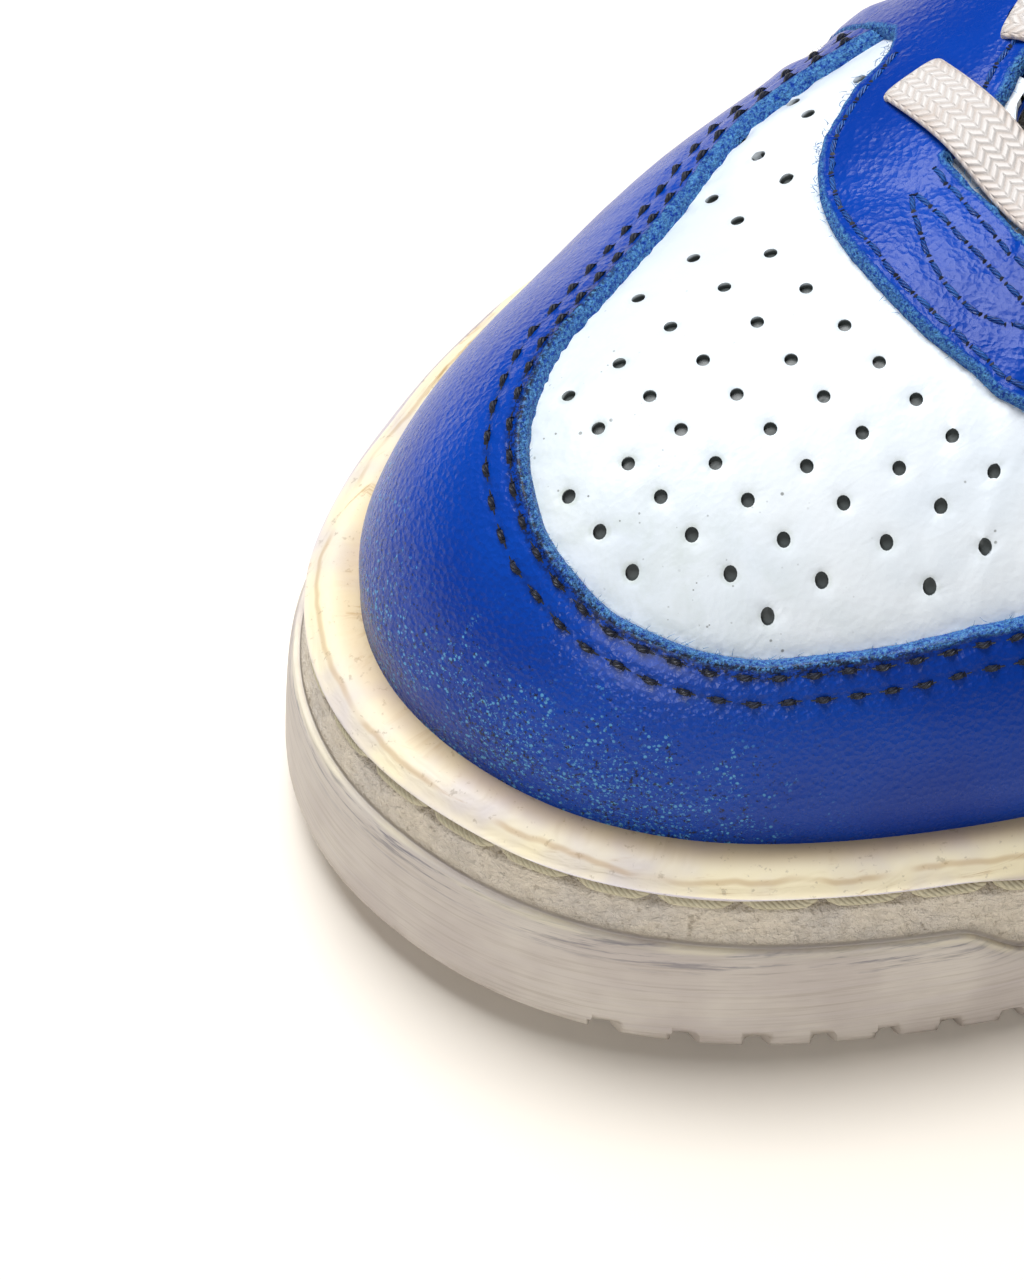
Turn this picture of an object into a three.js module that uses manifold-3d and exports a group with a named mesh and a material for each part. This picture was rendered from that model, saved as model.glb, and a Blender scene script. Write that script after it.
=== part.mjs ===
// A low court sneaker for the left foot: a moulded rubber cup sole, a lasted leather upper with raised
// overlays, a padded tongue, a foam insole and flat cotton laces.
// Millimetres. +X runs from heel to toe, +Y to the wearer's left, +Z up. The origin is on the floor, under
// the middle of the sole.
import * as THREE from "three";
import { mergeVertices } from "three/addons/utils/BufferGeometryUtils.js";
import Module from "manifold-3d";

const wasm = await Module();
wasm.setup();

// Driving dimensions
const soleLength = 298;
const ballWidth = 109.5;
const heelWidth = 80;
const heelHeight = 97; // floor to the top of the heel
const ankleHeight = 70; // floor to the lowest point of the collar
const instepHeight = 103; // floor to the collar's front corners
const throatHeight = 69.5; // floor to the front end of the lace opening
const toeHeight = 64; // floor to the top of the toe box, behind the toe's slope
const toeSpring = 5; // how far the tip of the tread lifts off the floor
const heelBevel = 3;
const archLift = 1.6;
const forefootThickness = 11; // tread to footbed, at the ball
const heelThickness = 19; // tread to footbed, under the heel
const leather = 2; // the upper's own wall, with its lining
const overlay = 1.4; // a raised overlay's own thickness
const fit = 0.3; // clearance between pieces that meet
const collarPad = 5; // foam behind the collar's lining
const featherInset = 9; // from the sole's widest line in to the upper
const cupHeight = 27; // tread to the top of the cup's lip, at the toe
const edgeRound = 1.8; // the tread's rounded edge
const bandInset = 2.9; // from the lower wall in to the pebbled band above its step
const channelWidth = 1.5; // the channel that the sidewall stitches lie in
const channelDepth = 1.9;
const lipWidth = 9; // from the lip's outer face in under the upper

// Helpers that hold for any curve or solid
const mix = (a, b, s) => a + (b - a) * s;
const clamp01 = (s) => Math.min(1, Math.max(0, s));
const smooth = (s) => clamp01(s) ** 2 * (3 - 2 * clamp01(s));
const radians = (degrees) => (degrees * Math.PI) / 180;

// A cubic through the rows' values, flat at each turning point, so that it never overshoots a row.
function curveThrough(rows, column) {
  const x = rows.map((row) => row[0]);
  const y = rows.map((row) => row[column]);
  const slope = x.slice(1).map((next, i) => (y[i + 1] - y[i]) / (next - x[i]));
  const tangent = x.map((_, i) => {
    if (i === 0) return slope[0];
    if (i === x.length - 1) return slope[i - 1];
    const product = slope[i - 1] * slope[i];
    return product <= 0 ? 0 : (2 * product) / (slope[i - 1] + slope[i]);
  });
  return (at) => {
    const s = Math.min(x[x.length - 1], Math.max(x[0], at));
    let i = 0;
    while (i < x.length - 2 && s > x[i + 1]) i += 1;
    const span = x[i + 1] - x[i];
    const u = (s - x[i]) / span;
    const rise = u * u * (3 - 2 * u);
    return (
      y[i] * (1 - rise) +
      y[i + 1] * rise +
      span * (tangent[i] * u * (1 - u) ** 2 - tangent[i + 1] * u * u * (1 - u))
    );
  };
}

// A closed solid from a list of triangles, each three Vector3.
function solidFromTriangles(triangles) {
  const geometry = new THREE.BufferGeometry().setFromPoints(triangles.flat());
  return solidFromGeometry(geometry);
}

function solidFromGeometry(source) {
  const bare = new THREE.BufferGeometry();
  const flat = source.index ? source.toNonIndexed() : source;
  bare.setAttribute("position", flat.getAttribute("position").clone());
  const merged = mergeVertices(bare, 1e-4);
  const index = merged.index.array;
  const kept = [];
  for (let i = 0; i < index.length; i += 3) {
    const [a, b, c] = index.slice(i, i + 3);
    if (a !== b && b !== c && c !== a) kept.push(a, b, c);
  }
  return new wasm.Manifold(
    new wasm.Mesh({
      numProp: 3,
      vertProperties: merged.attributes.position.array,
      triVerts: new Uint32Array(kept),
    }),
  );
}

function geometryFromSolid(solid) {
  const mesh = solid.getMesh();
  const geometry = new THREE.BufferGeometry();
  geometry.setAttribute("position", new THREE.BufferAttribute(mesh.vertProperties, 3));
  geometry.setIndex(new THREE.BufferAttribute(mesh.triVerts, 1));
  geometry.computeVertexNormals();
  return geometry;
}

const quad = (a, b, c, d) => [
  [a, b, c],
  [a, c, d],
];

// A prism over an outline drawn in plan, [x, y] by [x, y], between two heights.
function planPrism(points, low, high) {
  const shape = new THREE.Shape(points.map(([x, y]) => new THREE.Vector2(x, y)));
  const geometry = new THREE.ExtrudeGeometry(shape, { depth: high - low, bevelEnabled: false });
  return solidFromGeometry(geometry.translate(0, 0, low));
}

const fullWidth = [-ballWidth, ballWidth];

// A prism over an outline drawn from the side, [x, z] by [x, z], between two widths across the shoe.
function sidePrism(points, low, high) {
  const shape = new THREE.Shape(points.map(([x, z]) => new THREE.Vector2(x, z)));
  const geometry = new THREE.ExtrudeGeometry(shape, { depth: high - low, bevelEnabled: false });
  return solidFromGeometry(geometry.rotateX(Math.PI / 2).translate(0, high, 0));
}

// The sole's outline in plan. Each row: share of the length from the heel, then the half width as shares of
// the half ball width and of the half heel width. The toe's tip lies towards the big toe.
const heelTip = [0, 0, 0];
const toeTip = [1, -0.13, 0];
const lateralRows = [
  [0.012, 0, 0.36],
  [0.045, 0, 0.68],
  [0.1, 0, 0.9],
  [0.18, 0, 1],
  [0.3, 0.12, 0.85],
  [0.42, 0.35, 0.58],
  [0.54, 0.65, 0.3],
  [0.66, 0.94, 0.05],
  [0.73, 1, 0],
  [0.8, 0.945, 0],
  [0.87, 0.79, 0],
  [0.925, 0.615, 0],
  [0.965, 0.41, 0],
  [0.99, 0.17, 0],
];
const medialRows = [
  [0.012, 0, -0.36],
  [0.045, 0, -0.68],
  [0.1, 0, -0.89],
  [0.18, 0, -0.985],
  [0.3, -0.1, -0.79],
  [0.42, -0.3, -0.52],
  [0.54, -0.6, -0.29],
  [0.66, -0.988, 0],
  [0.73, -0.996, 0],
  [0.8, -0.97, 0],
  [0.87, -0.872, 0],
  [0.925, -0.735, 0],
  [0.965, -0.575, 0],
  [0.99, -0.375, 0],
];
const outlinePoint = ([along, ball, heel]) =>
  new THREE.Vector3(
    (along - 0.5) * soleLength,
    (ball * ballWidth) / 2 + (heel * heelWidth) / 2,
    0,
  );
const outlineRows = [heelTip, ...lateralRows, toeTip, ...medialRows.slice().reverse()];
const outlineCurve = new THREE.CatmullRomCurve3(outlineRows.map(outlinePoint), true, "centripetal");
const toeTipShare = (lateralRows.length + 1) / outlineRows.length;
const outlineSamples = 600;

// One side's half of the outline, from heel tip to toe tip, measured along the line.
function halfOutline(side) {
  const points = [];
  for (let i = 0; i <= outlineSamples; i += 1) {
    const s = (i / outlineSamples) * (side > 0 ? toeTipShare : 1 - toeTipShare);
    points.push(outlineCurve.getPoint(side > 0 ? s : (1 - s) % 1));
  }
  const travelled = [0];
  for (let i = 1; i < points.length; i += 1)
    travelled.push(travelled[i - 1] + points[i].distanceTo(points[i - 1]));
  return { points, travelled, length: travelled[outlineSamples] };
}
const lateral = 1;
const medial = -1;
const halves = { [lateral]: halfOutline(lateral), [medial]: halfOutline(medial) };

// The outline's point and its outward direction, at a share of the way from heel tip to toe tip.
function outlineAt(side, share) {
  const { points, travelled, length } = halves[side];
  const target = share * length;
  let i = 0;
  while (i < outlineSamples - 1 && travelled[i + 1] < target) i += 1;
  const u = clamp01((target - travelled[i]) / (travelled[i + 1] - travelled[i]));
  const point = points[i].clone().lerp(points[i + 1], u);
  const before = points[Math.max(0, i - 3)];
  const after = points[Math.min(outlineSamples, i + 4)];
  const along = after.clone().sub(before).normalize();
  if (share <= 0 || share >= 1) along.set(0, share <= 0 ? side : -side, 0);
  return { point, outward: new THREE.Vector3(-along.y * side, along.x * side, 0) };
}

// Heights of the tread and of the footbed along the shoe
const treadRows = [
  [-0.5, heelBevel],
  [-0.47, 0.35 * heelBevel],
  [-0.42, 0],
  [-0.14, 0],
  [-0.02, archLift],
  [0.1, 0],
  [0.27, 0],
  [0.35, 0.13 * toeSpring],
  [0.43, 0.47 * toeSpring],
  [0.5, toeSpring],
].map(([share, height]) => [share * soleLength, height]);
const treadHeight = curveThrough(treadRows, 1);
const footbedRows = [
  [-0.5, heelThickness],
  [-0.3, heelThickness],
  [0.15, forefootThickness],
  [0.5, forefootThickness],
].map(([share, height]) => [share * soleLength, height]);
const footbedThickness = curveThrough(footbedRows, 1);
const footbedHeight = (x) => treadHeight(x) + footbedThickness(x);

// The ridge along the top of the toe box, and the edge of the opening behind it. Each row: share of the way
// round the foot, then the top's place along the shoe, across it and above the floor, how full the wall is
// low down and at the shoulder, and how steeply it meets its top edge, in degrees.
const throatFront = 0.795; // share of the way round where the lace opening ends
const topRows = [
  [0, -0.462 * soleLength, 0, heelHeight, 0.5, 0.3, 96],
  [0.05, -0.456 * soleLength, 0.17 * ballWidth / 2, 0.995 * heelHeight, 0.5, 0.3, 96],
  [0.1, -0.43 * soleLength, 0.35 * ballWidth / 2, 0.955 * heelHeight, 0.5, 0.3, 94],
  [0.17, -0.375 * soleLength, 0.5 * ballWidth / 2, 1.17 * ankleHeight, 0.5, 0.3, 92],
  [0.27, -0.285 * soleLength, 0.59 * ballWidth / 2, ankleHeight, 0.5, 0.3, 88],
  [0.36, -0.205 * soleLength, 0.58 * ballWidth / 2, 1.09 * ankleHeight, 0.5, 0.3, 84],
  [0.43, -0.14 * soleLength, 0.5 * ballWidth / 2, 0.9 * instepHeight, 0.5, 0.33, 72],
  [0.475, -0.105 * soleLength, 0.41 * ballWidth / 2, instepHeight, 0.52, 0.38, 56],
  [0.53, -0.055 * soleLength, 0.35 * ballWidth / 2, 0.945 * instepHeight, 0.54, 0.43, 42],
  [0.61, 0.025 * soleLength, 0.29 * ballWidth / 2, 0.84 * instepHeight, 0.56, 0.48, 30],
  [0.69, 0.105 * soleLength, 0.25 * ballWidth / 2, 1.1 * throatHeight, 0.6, 0.52, 20],
  [0.75, 0.17 * soleLength, 0.23 * ballWidth / 2, 1.025 * throatHeight, 0.63, 0.54, 15],
  [0.78, 0.2 * soleLength, 0.17 * ballWidth / 2, throatHeight, 0.65, 0.55, 8],
  [throatFront, 0.21 * soleLength, 0, 0.99 * throatHeight, 0.67, 0.56, 0],
  [0.84, 0.262 * soleLength, 0, 1.045 * toeHeight, 0.69, 0.58, 0],
  [0.9, 0.33 * soleLength, 0, 1.012 * toeHeight, 0.7, 0.59, 0],
  [0.93, 0.345 * soleLength, 0, toeHeight, 0.7, 0.59, 0],
  [1, 0.345 * soleLength, 0, toeHeight, 0.7, 0.59, 0],
];
const [topX, topY, topZ, lowFullness, shoulderFullness, topTilt] = [1, 2, 3, 4, 5, 6].map((column) =>
  curveThrough(topRows, column),
);
const ridgeRows = topRows
  .filter(([share]) => share >= throatFront && share <= 0.93)
  .map((row) => [row[1], row[3]]);
const ridgeHeight = curveThrough(ridgeRows, 1);
const ridgeSlope = (x) => (ridgeHeight(x + 1) - ridgeHeight(x - 1)) / 2;
const ridgeShift = -0.13; // how far the toe's ridge leans to the big toe, as a share of the half width
const ridgeY = (x) => ridgeShift * (ballWidth / 2) * smooth((x / soleLength - 0.2) / 0.16);
const lowLean = radians(6); // how far the wall leans out as it leaves the sole
const isClosed = (share) => share >= throatFront - 1e-9;

function topPoint(side, share) {
  const x = topX(share);
  if (isClosed(share)) return new THREE.Vector3(x, ridgeY(x), ridgeHeight(x));
  return new THREE.Vector3(x, side * topY(share), topZ(share));
}

// The upper's outer surface: up from the sole at rise 0 to its top edge or ridge at rise 1.
function surfacePoint(side, share, rise) {
  const { point, outward } = outlineAt(side, share);
  const foot = point.clone().addScaledVector(outward, -featherInset);
  foot.z = footbedHeight(foot.x);
  const top = topPoint(side, share);
  const inward = top.clone().sub(foot).setZ(0);
  const reach = inward.length();
  inward.normalize();
  const height = top.z - foot.z;
  const leave = outward.clone().multiplyScalar(Math.sin(lowLean));
  leave.z = Math.cos(lowLean);
  const tilt = radians(topTilt(share));
  const arrive = inward.clone().multiplyScalar(Math.cos(tilt));
  arrive.z = Math.sin(tilt);
  if (isClosed(share)) arrive.z = ridgeSlope(top.x) * arrive.x;
  const armHigh = Math.hypot(reach * Math.cos(tilt), height * Math.sin(tilt));
  return new THREE.CubicBezierCurve3(
    foot,
    foot.clone().addScaledVector(leave, lowFullness(share) * height),
    top.clone().addScaledVector(arrive, -shoulderFullness(share) * armHigh),
    top,
  ).getPoint(rise);
}

const shareStep = 0.004;
const riseStep = 0.01;
function surfaceNormal(side, share, rise) {
  if (isClosed(share) && rise >= 1)
    return new THREE.Vector3(-ridgeSlope(topX(share)), 0, 1).normalize();
  const up = surfacePoint(side, share, Math.min(1, rise + riseStep)).sub(
    surfacePoint(side, share, Math.max(0, rise - riseStep)),
  );
  let round;
  if (share <= 0 || share >= 1) {
    round = up.clone().setZ(0).normalize();
    const outward = outlineAt(side, share).outward;
    round.set(-outward.y, outward.x, 0).multiplyScalar(-side);
  } else {
    round = surfacePoint(side, Math.min(1, share + shareStep), rise).sub(
      surfacePoint(side, Math.max(0, share - shareStep), rise),
    );
  }
  const normal = up.cross(round).multiplyScalar(side);
  if (rise <= 0) normal.z = 0;
  return normal.normalize();
}

const offsetPoint = (side, share, rise, offset) =>
  surfacePoint(side, share, rise).addScaledVector(surfaceNormal(side, share, rise), offset);

// Where the loft is cut into facets. The foot of the shoe needs most round the toe and the heel.
const shares = [
  0, 0.03, 0.06, 0.09, 0.12, 0.155, 0.19, 0.23, 0.27, 0.31, 0.35, 0.39, 0.43, 0.475, 0.515, 0.555, 0.6,
  0.645, 0.69, 0.725, 0.755, 0.78, throatFront, 0.815, 0.835, 0.86, 0.885, 0.905, 0.925, 0.945, 0.965,
  0.983, 1,
];
const rises = [0, 0.1, 0.2, 0.32, 0.44, 0.56, 0.68, 0.8, 0.9, 1];
const loop = [
  ...shares.map((share) => [lateral, share]),
  ...shares.slice(1, -1).reverse().map((share) => [medial, share]),
];

// A closed shell between two offsets of the upper's surface, open underneath and along its top edge.
function shell(outer, inner) {
  const layer = (offset) =>
    loop.map(([side, share]) =>
      rises.map((rise) =>
        offsetPoint(side, share, rise, typeof offset === "number" ? offset : offset(share, rise)),
      ),
    );
  const outside = layer(outer);
  const inside = layer(inner);
  const last = rises.length - 1;
  const triangles = [];
  loop.forEach(([, share], i) => {
    const n = (i + 1) % loop.length;
    for (let j = 0; j < last; j += 1) {
      triangles.push(
        ...quad(outside[i][j], outside[i][j + 1], outside[n][j + 1], outside[n][j]),
        ...quad(inside[i][j], inside[n][j], inside[n][j + 1], inside[i][j + 1]),
      );
    }
    triangles.push(...quad(outside[i][0], outside[n][0], inside[n][0], inside[i][0]));
    if (!isClosed(share) || !isClosed(loop[n][1]))
      triangles.push(
        ...quad(outside[n][last], outside[i][last], inside[i][last], inside[n][last]),
      );
  });
  return solidFromTriangles(triangles);
}

// A closed solid through a stack of rings, each one point per place in the loop, lowest ring first.
function stackRings(rings) {
  const triangles = [];
  loop.forEach((_, i) => {
    const n = (i + 1) % loop.length;
    for (let j = 0; j < rings.length - 1; j += 1)
      triangles.push(...quad(rings[j][i], rings[j + 1][i], rings[j + 1][n], rings[j][n]));
  });
  const half = shares.length - 1;
  const opposite = (i) => (loop.length - i) % loop.length;
  const low = rings[0];
  const high = rings[rings.length - 1];
  for (let i = 0; i < half; i += 1) {
    triangles.push(
      ...quad(low[i], low[i + 1], low[opposite(i + 1)], low[opposite(i)]),
      ...quad(high[i], high[opposite(i)], high[opposite(i + 1)], high[i + 1]),
    );
  }
  return solidFromTriangles(triangles);
}

// The sole's side, from the tread's edge up to the lip that hugs the upper. Each row: share of the way round
// the foot, then the heights above the tread of the lower wall's step, the stitch channel and the lip.
const wallRows = [
  [0, 0.63, 1.11, 1.37],
  [0.2, 0.56, 1, 1.26],
  [0.45, 0.445, 0.815, 1.075],
  [0.7, 0.445, 0.796, 1],
  [0.765, 0.445, 0.796, 1],
  [0.79, 0.63, 0.826, 1],
  [0.9, 0.64, 0.826, 1],
  [1, 0.64, 0.826, 1],
];
const [stepHeight, channelHeight, lipHeight] = [1, 2, 3].map((column) => {
  const shareOfCup = curveThrough(wallRows, column);
  return (share) => cupHeight * shareOfCup(share);
});

// Each row: how far out from the widest line, and the height above the tread, worked out for one place.
function soleProfile(share, lipLift) {
  const step = stepHeight(share);
  const channel = channelHeight(share);
  const lip = lipHeight(share);
  return [
    [-edgeRound * 0.9, 0],
    [0, edgeRound],
    [-0.1 * bandInset, 0.55 * step],
    [-0.34 * bandInset, step - 0.35 * bandInset],
    [-0.58 * bandInset, step - 0.07 * bandInset],
    [-bandInset, step + 0.1 * bandInset],
    [-1.07 * bandInset, channel - 0.8 * channelWidth],
    [-1.2 * bandInset, channel - 0.2 * channelWidth],
    [-bandInset - channelDepth, channel],
    [-bandInset - channelDepth, channel + 0.75 * channelWidth],
    [-bandInset - 0.2 * channelDepth, channel + 1.1 * channelWidth],
    [-bandInset, mix(channel, lip, 0.55)],
    [-bandInset - 0.15 * lipWidth, lip - 0.1 * lipWidth + lipLift],
    [-bandInset - 0.4 * lipWidth, lip + lipLift],
    [-bandInset - lipWidth, lip + lipLift],
  ];
}

function soleBlock(lipLift = 0) {
  const columns = loop.map(([side, share]) => {
    const { point, outward } = outlineAt(side, share);
    const base = treadHeight(point.x);
    return soleProfile(share, lipLift).map(([out, height]) =>
      point.clone().addScaledVector(outward, out).setZ(base + height),
    );
  });
  return stackRings(columns[0].map((_, level) => columns.map((column) => column[level])));
}

// The space inside the cup that takes the upper's foot.
const cavityRises = [0, 0.1, 0.2, 0.32, 0.44];
function cavity() {
  const rings = cavityRises.map((rise) =>
    loop.map(([side, share]) => offsetPoint(side, share, rise, fit)),
  );
  const floor = rings[0].map((point) => point.clone().setZ(point.z - fit));
  return stackRings([floor, ...rings]);
}


// Cross grooves in the tread, open at both sides. Each run: where its first and last grooves lie.
const groovePitch = 6.3;
const grooveWidth = 2.6;
const grooveDepth = 1.9;
const grooveRuns = [
  { from: 0.4575 * soleLength, to: 0.16 * soleLength },
  { from: -0.25 * soleLength, to: -0.42 * soleLength },
];
function treadGrooves() {
  const cutters = [];
  for (const { from, to } of grooveRuns) {
    for (let x = from; x >= to; x -= groovePitch) {
      const roof = treadHeight(x) + grooveDepth;
      const outline = [
        [x - grooveWidth / 2, -grooveDepth],
        [x + grooveWidth / 2, -grooveDepth],
        [x + grooveWidth * 0.36, roof],
        [x - grooveWidth * 0.36, roof],
      ];
      cutters.push(sidePrism(outline, ...fullWidth));
    }
  }
  return cutters.reduce((all, cutter) => all.add(cutter));
}
const soleSolid = soleBlock().subtract(cavity()).subtract(treadGrooves());

// The inner face: the leather's thickness, and foam behind the lining round the collar.
function innerOffset(share, rise) {
  const padded = smooth((rise - 0.55) / 0.3) * smooth((0.5 - share) / 0.08);
  return -leather - collarPad * padded;
}
const upperSolid = shell(0, innerOffset);

// The overlays are cut from one raised shell round the whole upper, clear of the sole's lip.
const raisedShell = shell(fit + overlay, fit).subtract(soleBlock(fit));

// Outlines of the overlays. The first three are in plan, as shares of the length and of the half width.
const inPlan = (rows) => rows.map(([x, y]) => [x * soleLength, (y * ballWidth) / 2]);
const toeBoxEdge = inPlan([
  [0.193, -0.658], [0.223, -0.612], [0.245, -0.612], [0.27, -0.541], [0.292, -0.486], [0.319, -0.424],
  [0.351, -0.354], [0.374, -0.311], [0.393, -0.245], [0.407, -0.183], [0.415, -0.121], [0.421, -0.037],
  [0.421, 0.062], [0.418, 0.146], [0.411, 0.226], [0.399, 0.307], [0.384, 0.384], [0.364, 0.447],
  [0.343, 0.504], [0.317, 0.559], [0.294, 0.61], [0.265, 0.65], [0.235, 0.668], [0.193, 0.694],
]);
const saddleFrontEdge = inPlan([
  [0.19, -0.519], [0.196, -0.519], [0.212, -0.449], [0.225, -0.431], [0.238, -0.396], [0.252, -0.354],
  [0.264, -0.278], [0.271, -0.208], [0.276, -0.11], [0.277, 0.011], [0.276, 0.135], [0.271, 0.237], [0.266, 0.332],
  [0.254, 0.409], [0.238, 0.46], [0.221, 0.5], [0.208, 0.541], [0.196, 0.592],
  [0.19, 0.592],
]);
const saddleOpening = inPlan([
  [0.223, -0.183], [0.223, 0.201], [0.21, 0.285], [0.181, 0.307], [0.104, 0.321], [0.023, 0.356],
  [-0.054, 0.405], [-0.104, 0.453], [-0.201, 0.53], [-0.201, -0.53], [-0.104, -0.453],
  [-0.054, -0.405], [0.023, -0.356], [0.104, -0.321], [0.181, -0.307], [0.21, -0.267],
]);

// These two are drawn from the side, as shares of the length and of a height.
const fromSide = (rows, height) => rows.map(([x, z]) => [x * soleLength, z * height]);
const wingFrontShare = 0.193; // where the saddle's wings meet the mudguard
const saddleWing = fromSide(
  [
    [wingFrontShare, 0], [wingFrontShare, 1.165], [-0.201, 1.359], [-0.136, 0.903], [-0.111, 0.82],
    [-0.067, 0.743],
    [-0.013, 0.665], [0.034, 0.578], [0.064, 0.476], [0.082, 0.35], [0.091, 0.194], [0.091, 0],
  ],
  instepHeight,
);
const counterShape = fromSide(
  [
    [-0.57, 0], [-0.315, 0], [-0.319, 0.33], [-0.332, 0.495], [-0.359, 0.619], [-0.399, 0.732],
    [-0.45, 0.82], [-0.57, 0.856],
  ],
  heelHeight,
);
const everyHeight = [-heelHeight, 2 * heelHeight];
const toeBoxHeights = [0.62 * toeHeight, 2 * toeHeight]; // the flat front that a plan can cut
const aheadOf = (x) => {
  const [low, high] = everyHeight;
  return sidePrism([[x, low], [x + soleLength, low], [x + soleLength, high], [x, high]], ...fullWidth);
};

const mudguardSolid = raisedShell
  .intersect(aheadOf(wingFrontShare * soleLength + fit))
  .subtract(planPrism(toeBoxEdge, ...toeBoxHeights));
const eyestaySolid = raisedShell
  .intersect(
    sidePrism(saddleWing, ...fullWidth).add(planPrism(saddleFrontEdge, ...toeBoxHeights)),
  )
  .subtract(planPrism(saddleOpening, ...everyHeight));
const heelCounterSolid = raisedShell.intersect(sidePrism(counterShape, ...fullWidth));

// The insole lies on the footbed, inside the foot of the upper.
const insoleThickness = 3.5;
function insole() {
  const ring = (lift) =>
    loop.map(([side, share]) => {
      const point = offsetPoint(side, share, 0, -leather - fit);
      return point.setZ(footbedHeight(surfacePoint(side, share, 0).x) + lift);
    });
  return stackRings([ring(0), ring(insoleThickness)]);
}

// The tongue. Each row: place along the shoe, then how far its top lies below the opening's edge and stands
// above it, its half width, thickness, and how far its sides fall below its middle.
const tongueThickness = 7.5;
const tongueDepth = 6.3; // from the opening's edge down to the tongue's top
const tongueStand = 24.5; // how far its tip stands above the opening's back corners
const tongueRows = [
  [0.248, 0.34, 0, 0.31, 0.35, 0.07],
  [0.215, 0.36, 0, 0.38, 0.4, 0.11],
  [0.168, 0.7, 0, 0.457, 0.6, 0.165],
  [0.104, 0.95, 0, 0.493, 0.8, 0.22],
  [0.034, 1, 0, 0.475, 0.93, 0.24],
  [-0.04, 1, 0, 0.42, 1, 0.2],
  [-0.101, 0.35, 0, 0.347, 1, 0.165],
  [-0.148, 0, 0.39, 0.356, 1, 0.13],
  [-0.178, 0, 0.8, 0.42, 0.87, 0.11],
  [-0.191, 0, 1, 0.347, 0.53, 0.07],
];
const edgeRows = topRows
  .filter(([share]) => share >= 0.475 && share <= 0.93)
  .map((row) => [row[1], row[3]]);
const edgeHeight = curveThrough(edgeRows, 1);
const tongueColumns = 8;
function tongue() {
  const spinePoints = tongueRows.map(([place, below, above]) => {
    const x = place * soleLength;
    return new THREE.Vector3(x, 0, edgeHeight(x) - below * tongueDepth + above * tongueStand);
  });
  const spine = new THREE.CatmullRomCurve3(spinePoints, false, "centripetal");
  const across = Array.from({ length: tongueColumns + 1 }, (_, k) => (2 * k) / tongueColumns - 1);
  const rings = tongueRows.map(([, , , halfWidth, thick, fall], i) => {
    const along = spine.getTangent(i / (tongueRows.length - 1));
    const up = new THREE.Vector3(along.z, 0, -along.x).multiplyScalar(along.x < 0 ? 1 : -1);
    const at = (u, down) =>
      spinePoints[i]
        .clone()
        .addScaledVector(up, (-fall * ballWidth * u * u) / 2 - down * (1 - 0.45 * u ** 4))
        .setY((u * halfWidth * ballWidth) / 2);
    return [
      ...across.map((u) => at(u, 0)),
      ...across.toReversed().map((u) => at(u, thick * tongueThickness)),
    ];
  });
  return loft(rings);
}

// A solid through a row of rings of equal count, with flat ends.
function loft(rings) {
  const count = rings[0].length;
  const triangles = [];
  for (let i = 0; i < rings.length - 1; i += 1)
    for (let k = 0; k < count; k += 1) {
      const n = (k + 1) % count;
      triangles.push(...quad(rings[i][k], rings[i][n], rings[i + 1][n], rings[i + 1][k]));
    }
  const first = rings[0];
  const last = rings[rings.length - 1];
  for (let k = 0; k < count / 2 - 1; k += 1) {
    const m = count - 1 - k;
    triangles.push(...quad(first[k], first[m], first[m - 1], first[k + 1]));
    triangles.push(...quad(last[k], last[k + 1], last[m - 1], last[m]));
  }
  return solidFromTriangles(triangles);
}

// Flat laces, from eyelet to eyelet over the saddle
const laceWidth = 7.6;
const laceThickness = 1.3;
const laceClearance = 0.5; // over the saddle, so that the flat ribbon clears its curve
const eyeletInset = 8.5; // from the edge of the opening to each eyelet
const firstBar = [0.21 * soleLength, (0.376 * ballWidth) / 2]; // its eyelets, along and to each side
const firstEdge = [0.21 * soleLength, (0.19 * ballWidth) / 2];
const eyeletShares = [0.722, 0.677, 0.632, 0.585, 0.535, 0.49]; // the other pairs, front to back
function eyeletPlace(side, share) {
  const top = surfacePoint(side, share, 1);
  let rise = 1;
  while (surfacePoint(side, share, rise).distanceTo(top) < eyeletInset) rise -= 0.005;
  return [surfacePoint(side, share, rise), surfaceNormal(side, share, rise)];
}
const edgePlace = (side, share) => [
  surfacePoint(side, share, 1),
  surfaceNormal(side, share, 0.96),
];

// The place on the closed front of the upper that lies over a point drawn in plan.
function vampPlace(side, x, y) {
  const target = new THREE.Vector2(x, y);
  const distance = ([share, rise]) => {
    const point = surfacePoint(side, share, rise);
    return target.distanceTo(new THREE.Vector2(point.x, point.y));
  };
  let best = [0.78, 0.8];
  for (let reach = 0.05; reach > 1e-4; reach /= 2) {
    for (let pass = 0; pass < 4; pass += 1) {
      const [share, rise] = best;
      const around = [
        best,
        [share + reach, rise],
        [share - reach, rise],
        [share, Math.min(1, rise + reach)],
        [share, rise - reach],
      ];
      best = around.reduce((a, b) => (distance(b) < distance(a) ? b : a));
    }
  }
  return [surfacePoint(side, ...best), surfaceNormal(side, ...best)];
}

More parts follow.
